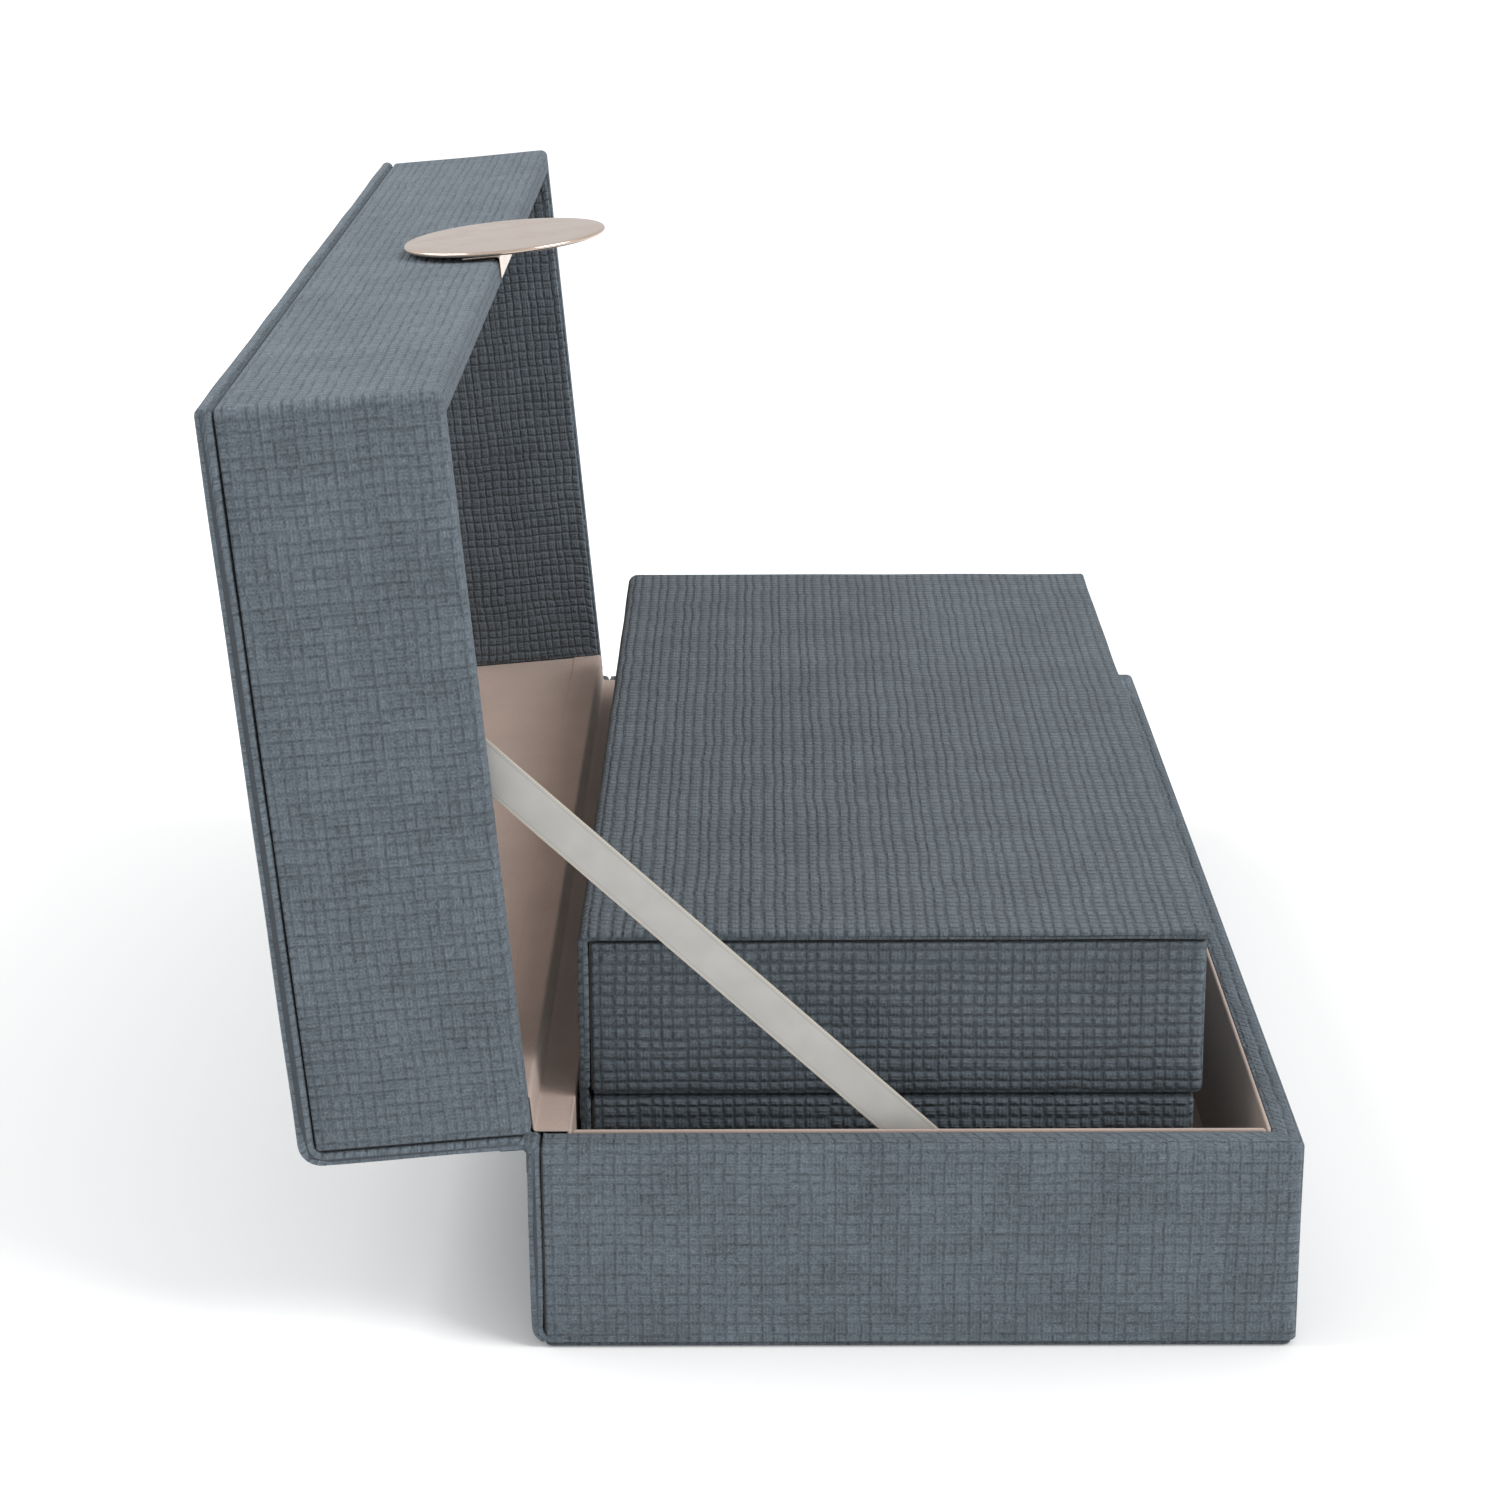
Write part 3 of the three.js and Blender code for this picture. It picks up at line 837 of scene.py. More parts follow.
@dataclass
class Wrap:
    """Fabric glued round a half's left end, front and right end, and turned in over the rim.

    Attributes:
        node: The CAD node that it replaces.
        place: Where the half stands.
        rim_up: True if the rim is the half's upper edge when shut.
        core: How deep the fabric runs in over the rim.
        corner: The rounding of the upright corners.
        rim_round: The rounding of the rim's outer edge.
        hem_round: The rounding of its inner edge.
        thick: The fabric's thickness.
        end_round: The rounding where it stops at the back cover.
        slit: The open line between it and the back cover.
        foot_round: The rounding of the face's edge away from the rim.
        foot_slit: The open line beyond that edge.
        uneven: How far its faces wander.
        step: The distance between grid lines.
    """

    node: str
    place: Place
    rim_up: bool
    core: float
    corner: float = 2.4 * MM
    rim_round: float = 1.9 * MM
    hem_round: float = 0.8 * MM
    thick: float = 1.0 * MM
    end_round: float = 0.9 * MM
    slit: float = 0.45 * MM
    foot_round: float = 0.4 * MM
    foot_slit: float = 0.0
    uneven: float = 0.12 * MM
    step: float = 5 * MM

    def _profile(self, height: float) -> tuple[Array, Array]:
        """The fabric's section as depth in from the face and height from the closed edge.

        It climbs the face, rolls over the rim with a slight crown, and comes back one thickness inside.

        Returns:
            The closed section, and 1 for each of its points on the outside face, 0 elsewhere.
        """
        rim, hem, foot = self.rim_round, self.hem_round, self.foot_round
        start = arc((foot, self.foot_slit + foot), foot, 270, 190, 4)
        face = refine(np.array([(0.0, self.foot_slit + foot), (0.0, height - rim)]), self.step)
        roll = arc((rim, height - rim), rim, 180, 90, 7)
        top = arc((self.core - hem, height - hem), hem, 90, 0, 5)
        under = height - self.thick
        back = np.array([(self.core, under), (self.thick, under), (self.thick, self.foot_slit)])
        section = np.concatenate((start, face, roll[1:], top, back))
        outside = np.zeros(len(section))
        outside[len(start):len(start) + len(face)] = 1.0
        return section, outside

    def _rows(self, low: Array, high: Array, inset: Array) -> tuple[Array, Array, Array]:
        """The X and Y of every path station at every depth, and how far along the cloth it is.

        A station of depth d follows the case's outline drawn in by d. A corner's centre is one corner radius
        in, or further in where the depth would turn the corner inside out.

        Args:
            low: The half's lowest corner, drawn shut.
            high: Its highest corner.
            inset: The depth of each column.

        Returns:
            X and Y as stations by columns, and the distance along the cloth of each station.
        """
        tightest = 0.3 * MM
        turn = np.maximum(self.corner, inset + tightest)[None, :]
        small = turn - inset[None, :]
        back = high[1] - self.slit
        side, drawn = soft_steps(back - low[1], self.end_round, self.step)
        side, drawn = side[:-ROUND_STEPS], drawn[:-ROUND_STEPS]
        share = (side / side[-1])[:, None]
        left_y = back - share * (back - low[1] - turn)
        left_x = low[0] + inset[None, :] + drawn[:, None] + 0 * left_y
        angle = np.radians(np.linspace(0, 90, 7))[1:-1, None]
        bend_x = low[0] + turn - small * np.cos(angle)
        bend_y = low[1] + turn - small * np.sin(angle)
        count = round((high[0] - low[0]) / self.step)
        front = np.linspace(0, 1, count + 1)[:, None]
        front_x = low[0] + turn + front * (high[0] - low[0] - 2 * turn)
        front_y = low[1] + inset[None, :] + 0 * front_x
        mirror = low[0] + high[0]
        x = np.concatenate((left_x, bend_x, front_x, mirror - bend_x[::-1], mirror - left_x[::-1]))
        y = np.concatenate((left_y, bend_y, front_y, bend_y[::-1], left_y[::-1]))
        return x, y, travel(np.column_stack((x[:, 0], y[:, 0])))

    def build(self) -> Piece:
        """Makes the wrap."""
        low, high = self.place.box(self.node)
        section, outside = self._profile(high[2] - low[2])
        x, y, gone = self._rows(low, high, section[:, 0])
        level = section[None, :, 1] + 0 * x
        v = travel(section)
        wave = ripple(gone[:, None], v[None, :], self.uneven, high[0]) * outside[None, :]
        forward_x, forward_y = np.gradient(x, axis=0), np.gradient(y, axis=0)
        size = np.hypot(forward_x, forward_y)
        x = x + wave * forward_y / size
        y = y - wave * forward_x / size
        z = low[2] + level if self.rim_up else high[2] - level
        points = self.place.world(np.stack((x, y, z), axis=-1))
        v = np.append(v, v[-1] + np.linalg.norm(section[-1] - section[0]))
        cloth = np.stack(np.meshgrid(gone, v, indexing="ij"), axis=-1)
        return make_mesh(f"{self.node}_fabric", Grid(points, cloth, closed=True, capped=True))


@dataclass
class CoverBoard:
    """A covered board whose section is a band along a line in Y and Z, carried along X with softened ends.

    Attributes:
        name: The piece's name.
        place: Where it stands.
        line: The middle of the band, from one edge to the other.
        thick: The band's thickness along the line, one number or one for each point.
        ends: Where it starts and stops along X.
        soft: The rounding of its two ends.
        step: The distance between grid lines.
        uneven: How far its faces wander.
    """

    name: str
    place: Place
    line: Array
    thick: Union[float, Array]
    ends: tuple[float, float]
    soft: float
    step: float = 6 * MM
    uneven: float = 0.1 * MM

    def _outline(self, drawn: float) -> Array:
        """The band's closed outline, drawn in: the line moved to both sides by half its thickness, and its
        edges finished with half circles."""
        half = np.broadcast_to(np.asarray(self.thick) / 2, len(self.line)) - drawn
        side = normals(self.line)
        angles = np.radians(np.linspace(0, 180, 7))[1:-1, None]
        forward = np.array([(side[k][1], -side[k][0]) for k in (0, -1)])
        head = self.line[-1] + half[-1] * (np.cos(angles) * side[-1] + np.sin(angles) * forward[1])
        tail = self.line[0] - half[0] * (np.cos(angles) * side[0] + np.sin(angles) * forward[0])
        left = self.line + half[:, None] * side
        right = self.line - half[:, None] * side
        return np.concatenate((left, head, right[::-1], tail))

    def build(self) -> Piece:
        """Makes the board."""
        place, drawn = soft_steps(self.ends[1] - self.ends[0], self.soft, self.step)
        outline = self._outline(0.0)
        rings = np.stack([self._outline(d) for d in drawn])
        gone = travel(np.concatenate((outline, outline[:1])))
        u, v = np.meshgrid(place, gone, indexing="ij")
        x = self.ends[0] + place[:, None] + 0 * rings[..., 0]
        wave = ripple(u[:, :-1], v[:, :-1], self.uneven, gone[-1] * 50)
        spread = np.gradient(rings, axis=1)
        spread /= np.linalg.norm(spread, axis=2)[..., None] + 1e-12
        y = rings[..., 0] + wave * spread[..., 1]
        z = rings[..., 1] - wave * spread[..., 0]
        points = self.place.world(np.stack((x, y, z), axis=-1))
        return make_mesh(self.name, Grid(points, np.stack((u, v), axis=-1), closed=True, capped=True))


@dataclass
class Panel:
    """A thin board or card with rounded edges, covered on both faces.

    Its surface is a stack of rounded rectangles: they grow from the middle of the back face to its edge,
    round the edge with the chosen radius, and shrink to the middle of the front face.

    Attributes:
        name: The piece's name.
        place: Where it stands.
        low: Its lowest corner, drawn shut.
        high: Its highest corner.
        thin: Which way it is thin, 0 to 2 for X to Z.
        soft: The rounding of its edges.
        corner: The rounding of its four corners.
        step: The distance between grid lines.
    """

    name: str
    place: Place
    low: Array
    high: Array
    thin: int
    soft: float
    corner: float = 1.0 * MM
    step: float = 8 * MM

    @classmethod
    def of(cls, node: str, place: Place, thin: int, soft: float, **more: object) -> "Panel":
        """A panel that fills a CAD node's box."""
        low, high = place.box(node)
        return cls(f"{node}_cloth", place, low, high, thin, soft, **more)

    def rings(self, flat_low: Array, flat_high: Array, inset: Array) -> Array:
        """Rounded rectangles, one row for each inset.

        Their straight sides have points set along them by shares. The radius of the quarter circles between
        shrinks with the inset.

        Args:
            flat_low: The lowest corner of the outermost rectangle.
            flat_high: Its highest corner.
            inset: How far each rectangle is drawn in.

        Returns:
            The points as rows by columns by two.
        """
        inset = inset[:, None]
        smallest = 0.15 * MM
        radius = np.maximum(self.corner - inset, smallest)
        reach = flat_high - flat_low
        sides = [max(2, round(length / self.step)) for length in reach]
        angle = np.radians(np.linspace(0, 90, 4))
        low = flat_low[None, :] + inset + radius
        high = flat_high[None, :] - inset - radius
        corners = [(high[:, 0], low[:, 1], -90), (high[:, 0], high[:, 1], 0),
                   (low[:, 0], high[:, 1], 90), (low[:, 0], low[:, 1], 180)]
        rows = []
        bends = []
        for a, b, start in corners:
            turned = angle + math.radians(start)
            bend = (a[:, None] + radius * np.cos(turned), b[:, None] + radius * np.sin(turned))
            bends.append(np.stack(bend, axis=-1))
        for k, bend in enumerate(bends):
            first, last = bend[:, -1], bends[(k + 1) % 4][:, 0]
            share = np.linspace(0, 1, sides[1 - k % 2] + 1)[1:-1][None, :, None]
            rows += [bend, first[:, None] + share * (last - first)[:, None]]
        return np.concatenate(rows, axis=1)

    def build(self) -> Piece:
        """Makes the panel."""
        flat = [axis for axis in range(3) if axis != self.thin]
        flat_low, flat_high = self.low[flat], self.high[flat]
        depth = self.high[self.thin] - self.low[self.thin]
        soft = min(self.soft, depth / 2)
        innermost = 0.4 * MM
        deepest = (flat_high - flat_low).min() / 2 - innermost
        inward = soft + (deepest - soft) * np.linspace(1, 0, 9) ** 1.8
        turn = np.radians(np.linspace(0, 90, ROUND_STEPS))[1:]
        edge = soft * (1 - np.sin(turn))
        rise = soft * (1 - np.cos(turn))
        face = np.zeros(len(inward))
        inset = np.concatenate((inward, edge, edge[::-1], inward[::-1]))
        level = np.concatenate((face, rise, depth - rise[::-1], depth + face))
        rings = self.rings(flat_low, flat_high, inset)
        back = len(inset) // 2
        unrolled = np.concatenate((inset[:back] - 2 * soft, inset[back:]))
        flat_cloth = self.rings(flat_low, flat_high, unrolled)
        points = np.empty((*rings.shape[:2], 3))
        points[..., flat[0]] = rings[..., 0]
        points[..., flat[1]] = rings[..., 1]
        points[..., self.thin] = self.low[self.thin] + level[:, None]
        cloth = np.concatenate((flat_cloth, flat_cloth[:, :1]), axis=1)
        return make_mesh(self.name, Grid(self.place.world(points), cloth, closed=True, capped=True))


@dataclass
class Lathe:
    """A round piece about a line along Y.

    Attributes:
        name: The piece's name.
        place: Where it stands.
        centre: The middle of its back face, drawn shut.
        profile: Its radius and its distance forward, from near the axis at the back to near it at the front.
        around: How many columns.
    """

    name: str
    place: Place
    centre: Sequence[float]
    profile: Array
    around: int = 96

    def build(self) -> Piece:
        """Makes the piece: each profile point goes round the axis by the cosine and sine of the turn."""
        turn = np.linspace(0, math.tau, self.around, endpoint=False)[None, :]
        radius, forward = self.profile[:, :1], self.profile[:, 1:]
        x = self.centre[0] + radius * np.cos(turn)
        y = self.centre[1] - forward + 0 * x
        z = self.centre[2] + radius * np.sin(turn)
        points = self.place.world(np.stack((x, y, z), axis=-1))
        cloth = np.stack((x, z), axis=-1)
        cloth = np.concatenate((cloth, cloth[:, :1]), axis=1)
        return make_mesh(self.name, Grid(points, cloth, closed=True, capped=True))


@dataclass
class Strip:
    """A strip of cloth whose section is a line in Y and Z, carried along X, with a real thickness.

    Where it crosses a gap between two boards it can be folded fuller on its left side: the added thickness
    falls off as a bell curve with the distance from the gap.

    Attributes:
        name: The piece's name.
        line: The section's middle, as Y and Z at rest.
        ends: Where it starts and stops along X.
        thick: Its thickness.
        fold: How much thicker it is in the gap.
        gap: The middle of the gap, as Y and Z.
        reach: The bell curve's width.
        step: The distance between grid lines.
    """

    name: str
    line: Array
    ends: tuple[float, float]
    thick: float = 0.3 * MM
    fold: float = 0.0
    gap: tuple[float, float] = (0.0, 0.0)
    reach: float = 1.1 * MM
    step: float = 8 * MM

    @property
    def flat(self) -> tuple[float, float]:
        """The width and length that it was cut to."""
        return float(travel(self.line)[-1]), self.ends[1] - self.ends[0]

    def build(self) -> Piece:
        """Makes the strip."""
        away = np.linalg.norm(self.line - np.array(self.gap), axis=1)
        added = self.fold * np.exp(-((away / self.reach) ** 2))
        line = self.line + added[:, None] / 2 * normals(self.line)
        thick = self.thick + added
        soft = self.thick / 3
        return CoverBoard(self.name, Place(), line, thick, self.ends, soft, self.step, uneven=0.0).build()


@dataclass
class Padding:
    """How a padded piece is plumped by a cloth simulation.

    Attributes:
        pressure: The air pressure inside.
        cap: The furthest that a point may move.
        voxel: The size of the even mesh that it is simulated on. A thin pad keeps its own even grid.
        frames: How long the simulation runs.
    """

    pressure: float
    cap: float
    voxel: Optional[float] = None
    frames: int = 20

    def plump(self, piece: Piece) -> None:
        """Evens out a closed piece's mesh, lets it swell, caps each point's move, and smooths the result."""
        if self.voxel:
            remesh = piece.modifiers.new("even", "REMESH")
            remesh.mode = "VOXEL"
            remesh.voxel_size = self.voxel
            bake_modifiers(piece)
        start = vertices_of(piece)
        cloth = piece.modifiers.new("swell", "CLOTH")
        cloth.settings.use_pressure = True
        cloth.settings.uniform_pressure_force = self.pressure
        cloth.settings.effector_weights.gravity = 0.0
        cloth.point_cache.frame_end = self.frames
        for step in range(1, self.frames + 1):
            bpy.context.scene.frame_set(step)
        bake_modifiers(piece)
        bpy.context.scene.frame_set(1)
        moved = vertices_of(piece) - start
        size = np.linalg.norm(moved, axis=1, keepdims=True)
        capped = start + moved * np.minimum(1.0, self.cap / np.maximum(size, 1e-9))
        piece.data.vertices.foreach_set("co", capped.astype(np.float32).ravel())
        finer = piece.modifiers.new("finer", "SUBSURF")
        finer.levels = finer.render_levels = 1
        bake_modifiers(piece)
        piece.data.shade_smooth()


def bake_modifiers(piece: Piece) -> None:
    """Applies a piece's modifiers to its mesh."""
    shaped = piece.evaluated_get(bpy.context.evaluated_depsgraph_get())
    mesh = bpy.data.meshes.new_from_object(shaped)
    old = piece.data
    piece.modifiers.clear()
    piece.data = mesh
    bpy.data.meshes.remove(old)


# ---- The case ------------------------------------------------------------------------------------


class Maker:
    """Hands finished pieces over: finish, body, and the CAD nodes that they stand for."""

    def __init__(self, wardrobe: Wardrobe) -> None:
        """Keeps the materials and a count of the pieces handed over."""
        self.wardrobe = wardrobe
        self.count = 0

    def hand_over(
        self,
        piece: Piece,
        finish: Finish,
        nodes: Sequence[str] = (),
        body: Optional[str] = None,
    ) -> Piece:
        """Finishes a piece.

        Args:
            piece: The piece, its mesh final.
            finish: What it is made of.
            nodes: The CAD nodes that it replaces.
            body: The body that it rides on, if it isn't blended.

        Returns:
            The piece.
        """
        self.wardrobe.dress(piece, finish)
        if body:
            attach(piece, body)
        if nodes:
            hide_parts(*nodes)
        self.count += 1
        log.info("%s: %d faces", piece.name, len(piece.data.polygons))
        return piece


def make_pad(maker: Maker, node: str, place: Place, body: str) -> None:
    """Makes a lid's thin pad: a slab a little smaller than its CAD solid, swollen by a cloth simulation.

    Args:
        maker: Who takes it.
        node: The CAD node that it replaces.
        place: Where the lid stands.
        body: The body that it rides on.
    """
    low, high = place.box(node)
    margin, clear, cell = 0.5 * MM, 0.2 * MM, 5 * MM
    thick = (high[2] - low[2]) * 0.7
    level = high[2] - thick / 2 - clear
    line = refine(np.array([(low[1] + margin, level), (high[1] - margin, level)]), cell)
    ends = (low[0] + margin, high[0] - margin)
    cushion = CoverBoard(f"{node}_cushion", place, line, thick, ends, thick * 0.4, step=cell).build()
    Padding(pressure=3.0, cap=1.0 * MM).plump(cushion)
    maker.hand_over(cushion, Finish.LINING, [node], body)


@dataclass(frozen=True)
class BookCover:
    """A lid's book cover: one covered board over the top, round the back corner and down the back.

    Attributes:
        name: The piece's name.
        body: The body that it rides on.
        prefix: What its CAD nodes' names start with.
        place: Where the lid stands.
        suede: Its fabric.
        bend: The radius of its middle at the corner.
        soft: The rounding of its ends.
        own_spine: True if its thickness eases from the top's to the back's, False if it keeps the top's.
    """

    name: str
    body: str
    prefix: str
    place: Place
    suede: Finish
    bend: float
    soft: float
    own_spine: bool

    def make(self, maker: Maker) -> None:
        """Makes the cover."""
        nodes = [f"{self.prefix}_top_cover", f"{self.prefix}_back_cover"]
        top_low, top_high = self.place.box(nodes[0])
        back_low, back_high = self.place.box(nodes[1])
        top = top_high[2] - top_low[2]
        spine = back_high[1] - back_low[1] if self.own_spine else top
        middle_z = top_high[2] - top / 2
        middle_y = top_high[1] - spine / 2
        line = refine(np.concatenate((
            [(top_low[1] + top / 2, middle_z)],
            arc((middle_y - self.bend, middle_z - self.bend), self.bend, 90, 0, 7),
            [(middle_y, back_low[2] + spine / 2)],
        )), 5 * MM)
        down = np.clip((middle_z - line[:, 1]) / self.bend, 0, 1)
        thick = top + (spine - top) * down
        ends = (float(top_low[0]), float(top_high[0]))
        cover = CoverBoard(self.name, self.place, line, thick, ends, self.soft, uneven=0.15 * MM)
        maker.hand_over(cover.build(), self.suede, nodes, self.body)


@dataclass
class BoxHalf:
    """What the lower half and the lid of a box share: the wrap, the wall boards and the linings.

    Attributes:
        prefix: What its nodes' names start with.
        body: The body that it is.
        place: Where it stands.
        rim_up: True if its rim is its upper edge when shut.
        suede: The fabric outside.
    """

    prefix: str
    body: str
    place: Place
    rim_up: bool
    suede: Finish

    def make_wrap(self, maker: Maker) -> None:
        """Makes the fabric round the ends and the front."""
        node = f"{self.prefix}_wrap"
        low, _ = self.place.box(node)
        _, board = self.place.box(f"{self.prefix}_left_board")
        foot = {} if self.rim_up else {"foot_round": 0.8 * MM, "foot_slit": 0.35 * MM}
        wrap = Wrap(node, self.place, self.rim_up, float(board[0] - low[0]), **foot)
        maker.hand_over(wrap.build(), self.suede, [node], self.body)

    def make_panels(
        self,
        maker: Maker,
        panels: dict[str, tuple[int, Finish]],
        soft: float,
        rise: float = 0.0,
    ) -> None:
        """Makes thin lined panels.

        Args:
            maker: Who takes them.
            panels: For each node's name ending, the panel's thin way and finish.
            soft: The rounding of their edges.
            rise: How far the upright ones stand above their CAD nodes.
        """
        for ending, (thin, finish) in panels.items():
            node = f"{self.prefix}_{ending}"
            panel = Panel.of(node, self.place, thin, soft)
            if thin != 2:
                panel.high[2] += rise
            maker.hand_over(panel.build(), finish, [node], self.body)


@dataclass(frozen=True)
class OuterBox:
    """The outer box: the tray, the lid, what joins them and the clasp.

    Attributes:
        ribbon_width: The width of the ribbon stay.
        lining_soft: The rounding of the linings' edges.
        lining_rise: How far the tray's linings stand above their CAD nodes, up to the wrap's hem.
        foot: The rounding at the foot of the tray's back.
        hinge_reach: How far the cover's cloth runs from the joint onto each board.
        hinge_hollow: The radius of its hollow in the joint's corner.
        hinge_fold: How much thicker it is folded there.
        dome: How far the clasp's plate is domed.
        sheet: The thickness of the clasp's bracket.
        base_place: Where the tray stands.
        lid_place: Where the lid stands.
    """

    ribbon_width: float
    lining_soft: float = 0.5 * MM
    lining_rise: float = 1.2 * MM
    foot: float = 3.0 * MM
    hinge_reach: float = 6 * MM
    hinge_hollow: float = 1.2 * MM
    hinge_fold: float = 2.2 * MM
    dome: float = 0.2 * MM
    sheet: float = 0.8 * MM
    base_place: Place = Place()
    lid_place: Place = field(default_factory=lambda: place_of("outer_lid_hinge"))

    def make_base(self, maker: Maker) -> None:
        """Makes the tray's fabrics and linings."""
        half = BoxHalf("base", "base", self.base_place, True, Finish.OUTER_SUEDE)
        half.make_wrap(maker)
        linings = {
            "front_lining": (1, Finish.LINING),
            "left_lining": (0, Finish.LINING),
            "right_lining": (0, Finish.LINING),
            "back_lining": (1, Finish.LINING),
            "floor_lining": (2, Finish.LINING),
        }
        half.make_panels(maker, linings, self.lining_soft, rise=self.lining_rise)
        under = Panel.of("base_underside_cover", self.base_place, 2, 0.6 * MM, corner=2 * MM)
        maker.hand_over(under.build(), Finish.OUTER_SUEDE, ["base_underside_cover"], "base")
        self._make_back(maker)

    def _make_back(self, maker: Maker) -> None:
        """Makes the covered board down the tray's back, which turns in and thins towards its foot."""
        low, high = self.base_place.box("base_back_cover")
        thick = high[1] - low[1]
        middle = high[1] - thick / 2
        line = refine(np.concatenate((
            arc((middle - self.foot, low[2] + self.foot + thick / 2), self.foot, -60, 0, 5),
            [(middle, high[2] - thick / 2)],
        )), 5 * MM)
        foot_share, taper = 0.72, 9 * MM
        up = (line[:, 1] - low[2]) / taper
        spread = thick * np.clip(foot_share + up * (1 - foot_share), foot_share, 1.0)
        ends = (low[0], high[0])
        cover = CoverBoard("base_back_cover_cloth", self.base_place, line, spread, ends, 1.1 * MM)
        maker.hand_over(cover.build(), Finish.OUTER_SUEDE, ["base_back_cover"], "base")

    def make_lid(self, maker: Maker) -> None:
        """Makes the lid's fabrics, linings, book cover and pad."""
        half = BoxHalf("lid", "outer_lid", self.lid_place, False, Finish.OUTER_SUEDE)
        half.make_wrap(maker)
        facings = {
            "front_facing": (1, Finish.OUTER_SUEDE),
            "left_facing": (0, Finish.OUTER_SUEDE),
            "right_facing": (0, Finish.OUTER_SUEDE),
            "back_facing": (1, Finish.LINING),
        }
        half.make_panels(maker, facings, self.lining_soft)
        BookCover("lid_book_cover", "outer_lid", "lid", self.lid_place, Finish.OUTER_SUEDE,
                  bend=4.2 * MM, soft=1.3 * MM, own_spine=True).make(maker)
        make_pad(maker, "lid_top_pad", self.lid_place, "outer_lid")

    def make_joint(self, maker: Maker) -> None:
        """Makes the two cloths that cross the hinge, the cover's own fabric outside and the lining inside."""
        self._make_outer_cloth(maker)
        self._make_inner_cloth(maker)

    def _make_outer_cloth(self, maker: Maker) -> None:
        """Makes the cover's fabric, from the tray's back, through a small hollow, to the lid's back."""
        low, high = self.base_place.box("base_back_cover")
        lid_low, lid_high = self.lid_place.box("lid_back_cover")
        proud, inset = -0.05 * MM, 0.1 * MM
        lean = math.degrees(self.lid_place.angle) - 90
        _, face_z = self.lid_place.point(lid_high[1], lid_low[2] + 2 * MM)
        away_y, away_z = self.lid_place.point(lid_high[1], lid_low[2] + self.hinge_reach)
        y, z = float(high[1] + proud), float(face_z - proud)
        hollow = self.hinge_hollow
        line = refine(np.concatenate((
            [(y, z - self.hinge_reach)],
            arc((y + hollow, z - hollow), hollow, 180, 90 - lean, 6),
            [(away_y, away_z - proud)],
        )), 0.6 * MM)
        strip = Strip("cover_hinge_cloth", line, (low[0] + inset, high[0] - inset),
                      fold=self.hinge_fold, gap=(y, z), reach=1.8 * MM)
        cloth = strip.build()
        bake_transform(cloth)
        maker.hand_over(cloth, Finish.OUTER_SUEDE, ["hinge_cloth"])
        strip.flat

    def _make_inner_cloth(self, maker: Maker) -> None:
        """Makes the hinge lining, from the back wall's rim, up the lid's rim and onto its back facing."""
        rim_low, rim_high = self.base_place.box("base_hinge_lining")
        lid_low, _ = self.lid_place.box("lid_hinge_lining")
        _, facing_high = self.lid_place.box("lid_back_facing")
        hinge = self.lid_place
        proud, inset = 0.15 * MM, 0.2 * MM
        rim, lid_rim = rim_high[2] + proud, lid_low[2] - proud
        crest = facing_high[1] - 1.0 * MM
        line = smooth_line(np.array([
            (rim_low[1] - 0.6 * MM, rim),
            (hinge.y - 0.4 * MM, rim),
            (hinge.y + 0.2 * MM, rim + proud),
            hinge.point(-1.2 * MM, lid_rim),
            hinge.point(crest, lid_rim),
            hinge.point(crest - proud, lid_low[2] + 0.6 * MM),
            hinge.point(crest - proud, lid_low[2] + 9 * MM),
        ]), 0.4 * MM)
        strip = Strip("hinge_lining_cloth", line, (rim_low[0] + inset, rim_high[0] - inset))
        cloth = strip.build()
        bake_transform(cloth)
        maker.hand_over(cloth, Finish.LINING, ["base_hinge_lining", "lid_hinge_lining"])
        strip.flat

    def make_ribbon(self, maker: Maker) -> None:
        """Makes the ribbon stay.

        It runs straight between its two fixings. Across its width it bows by a thread or two, as satin does
        when it is pulled: the bow is a parabola of the share of the width.
        """
        points = vertices_of(frame["nodes"]["ribbon_stay"])
        centre = points[:, 1:].mean(axis=0)
        axis = np.linalg.svd(points[:, 1:] - centre)[2][0]
        axis *= np.sign(axis[1])
        reach = np.abs((points[:, 1:] - centre) @ axis).max()
        middle = (points[:, 0].min() + points[:, 0].max()) / 2
        along = np.linspace(-reach, reach, 90)[:, None]
        loop = self._ribbon_section()
        across, off = loop[None, :, 0], loop[None, :, 1]
        bow = 0.18 * MM * (1 - (2 * across / self.ribbon_width) ** 2)
        y = centre[0] + along * axis[0] - across * axis[1]
        z = centre[1] + along * axis[1] + across * axis[0]
        x = middle - 0.1 * MM + off - bow + 0 * y
        closed = np.append(loop[:, 0], loop[0, 0])
        cloth = np.stack(np.broadcast_arrays(closed[None, :], along), axis=-1)
        grid = Grid(np.stack((x, y, z), axis=-1), cloth, closed=True, capped=True)
        ribbon = make_mesh("ribbon", grid)
        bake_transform(ribbon)
        maker.hand_over(ribbon, Finish.RIBBON, ["ribbon_stay"])

    def _ribbon_section(self) -> Array:
        """Half the ribbon's width to each side, a thin web with a rounder thread at both edges."""
        web, thread, tip = 0.11 * MM, 0.09 * MM, 0.05 * MM
        share = np.linspace(-1, 1, 25)
        half = web + thread * np.clip((np.abs(share) - 0.88) / 0.06, 0, 1)
        half[[0, -1]] = tip
        across = share * self.ribbon_width / 2
        front = np.column_stack((across, -half))
        back = np.column_stack((across, half))[::-1]
        return np.concatenate((front, back))

    def make_clasp(self, maker: Maker) -> None:
        """Makes the round plate and its folded bracket."""
        self._make_plate(maker)
        self._make_bracket(maker)

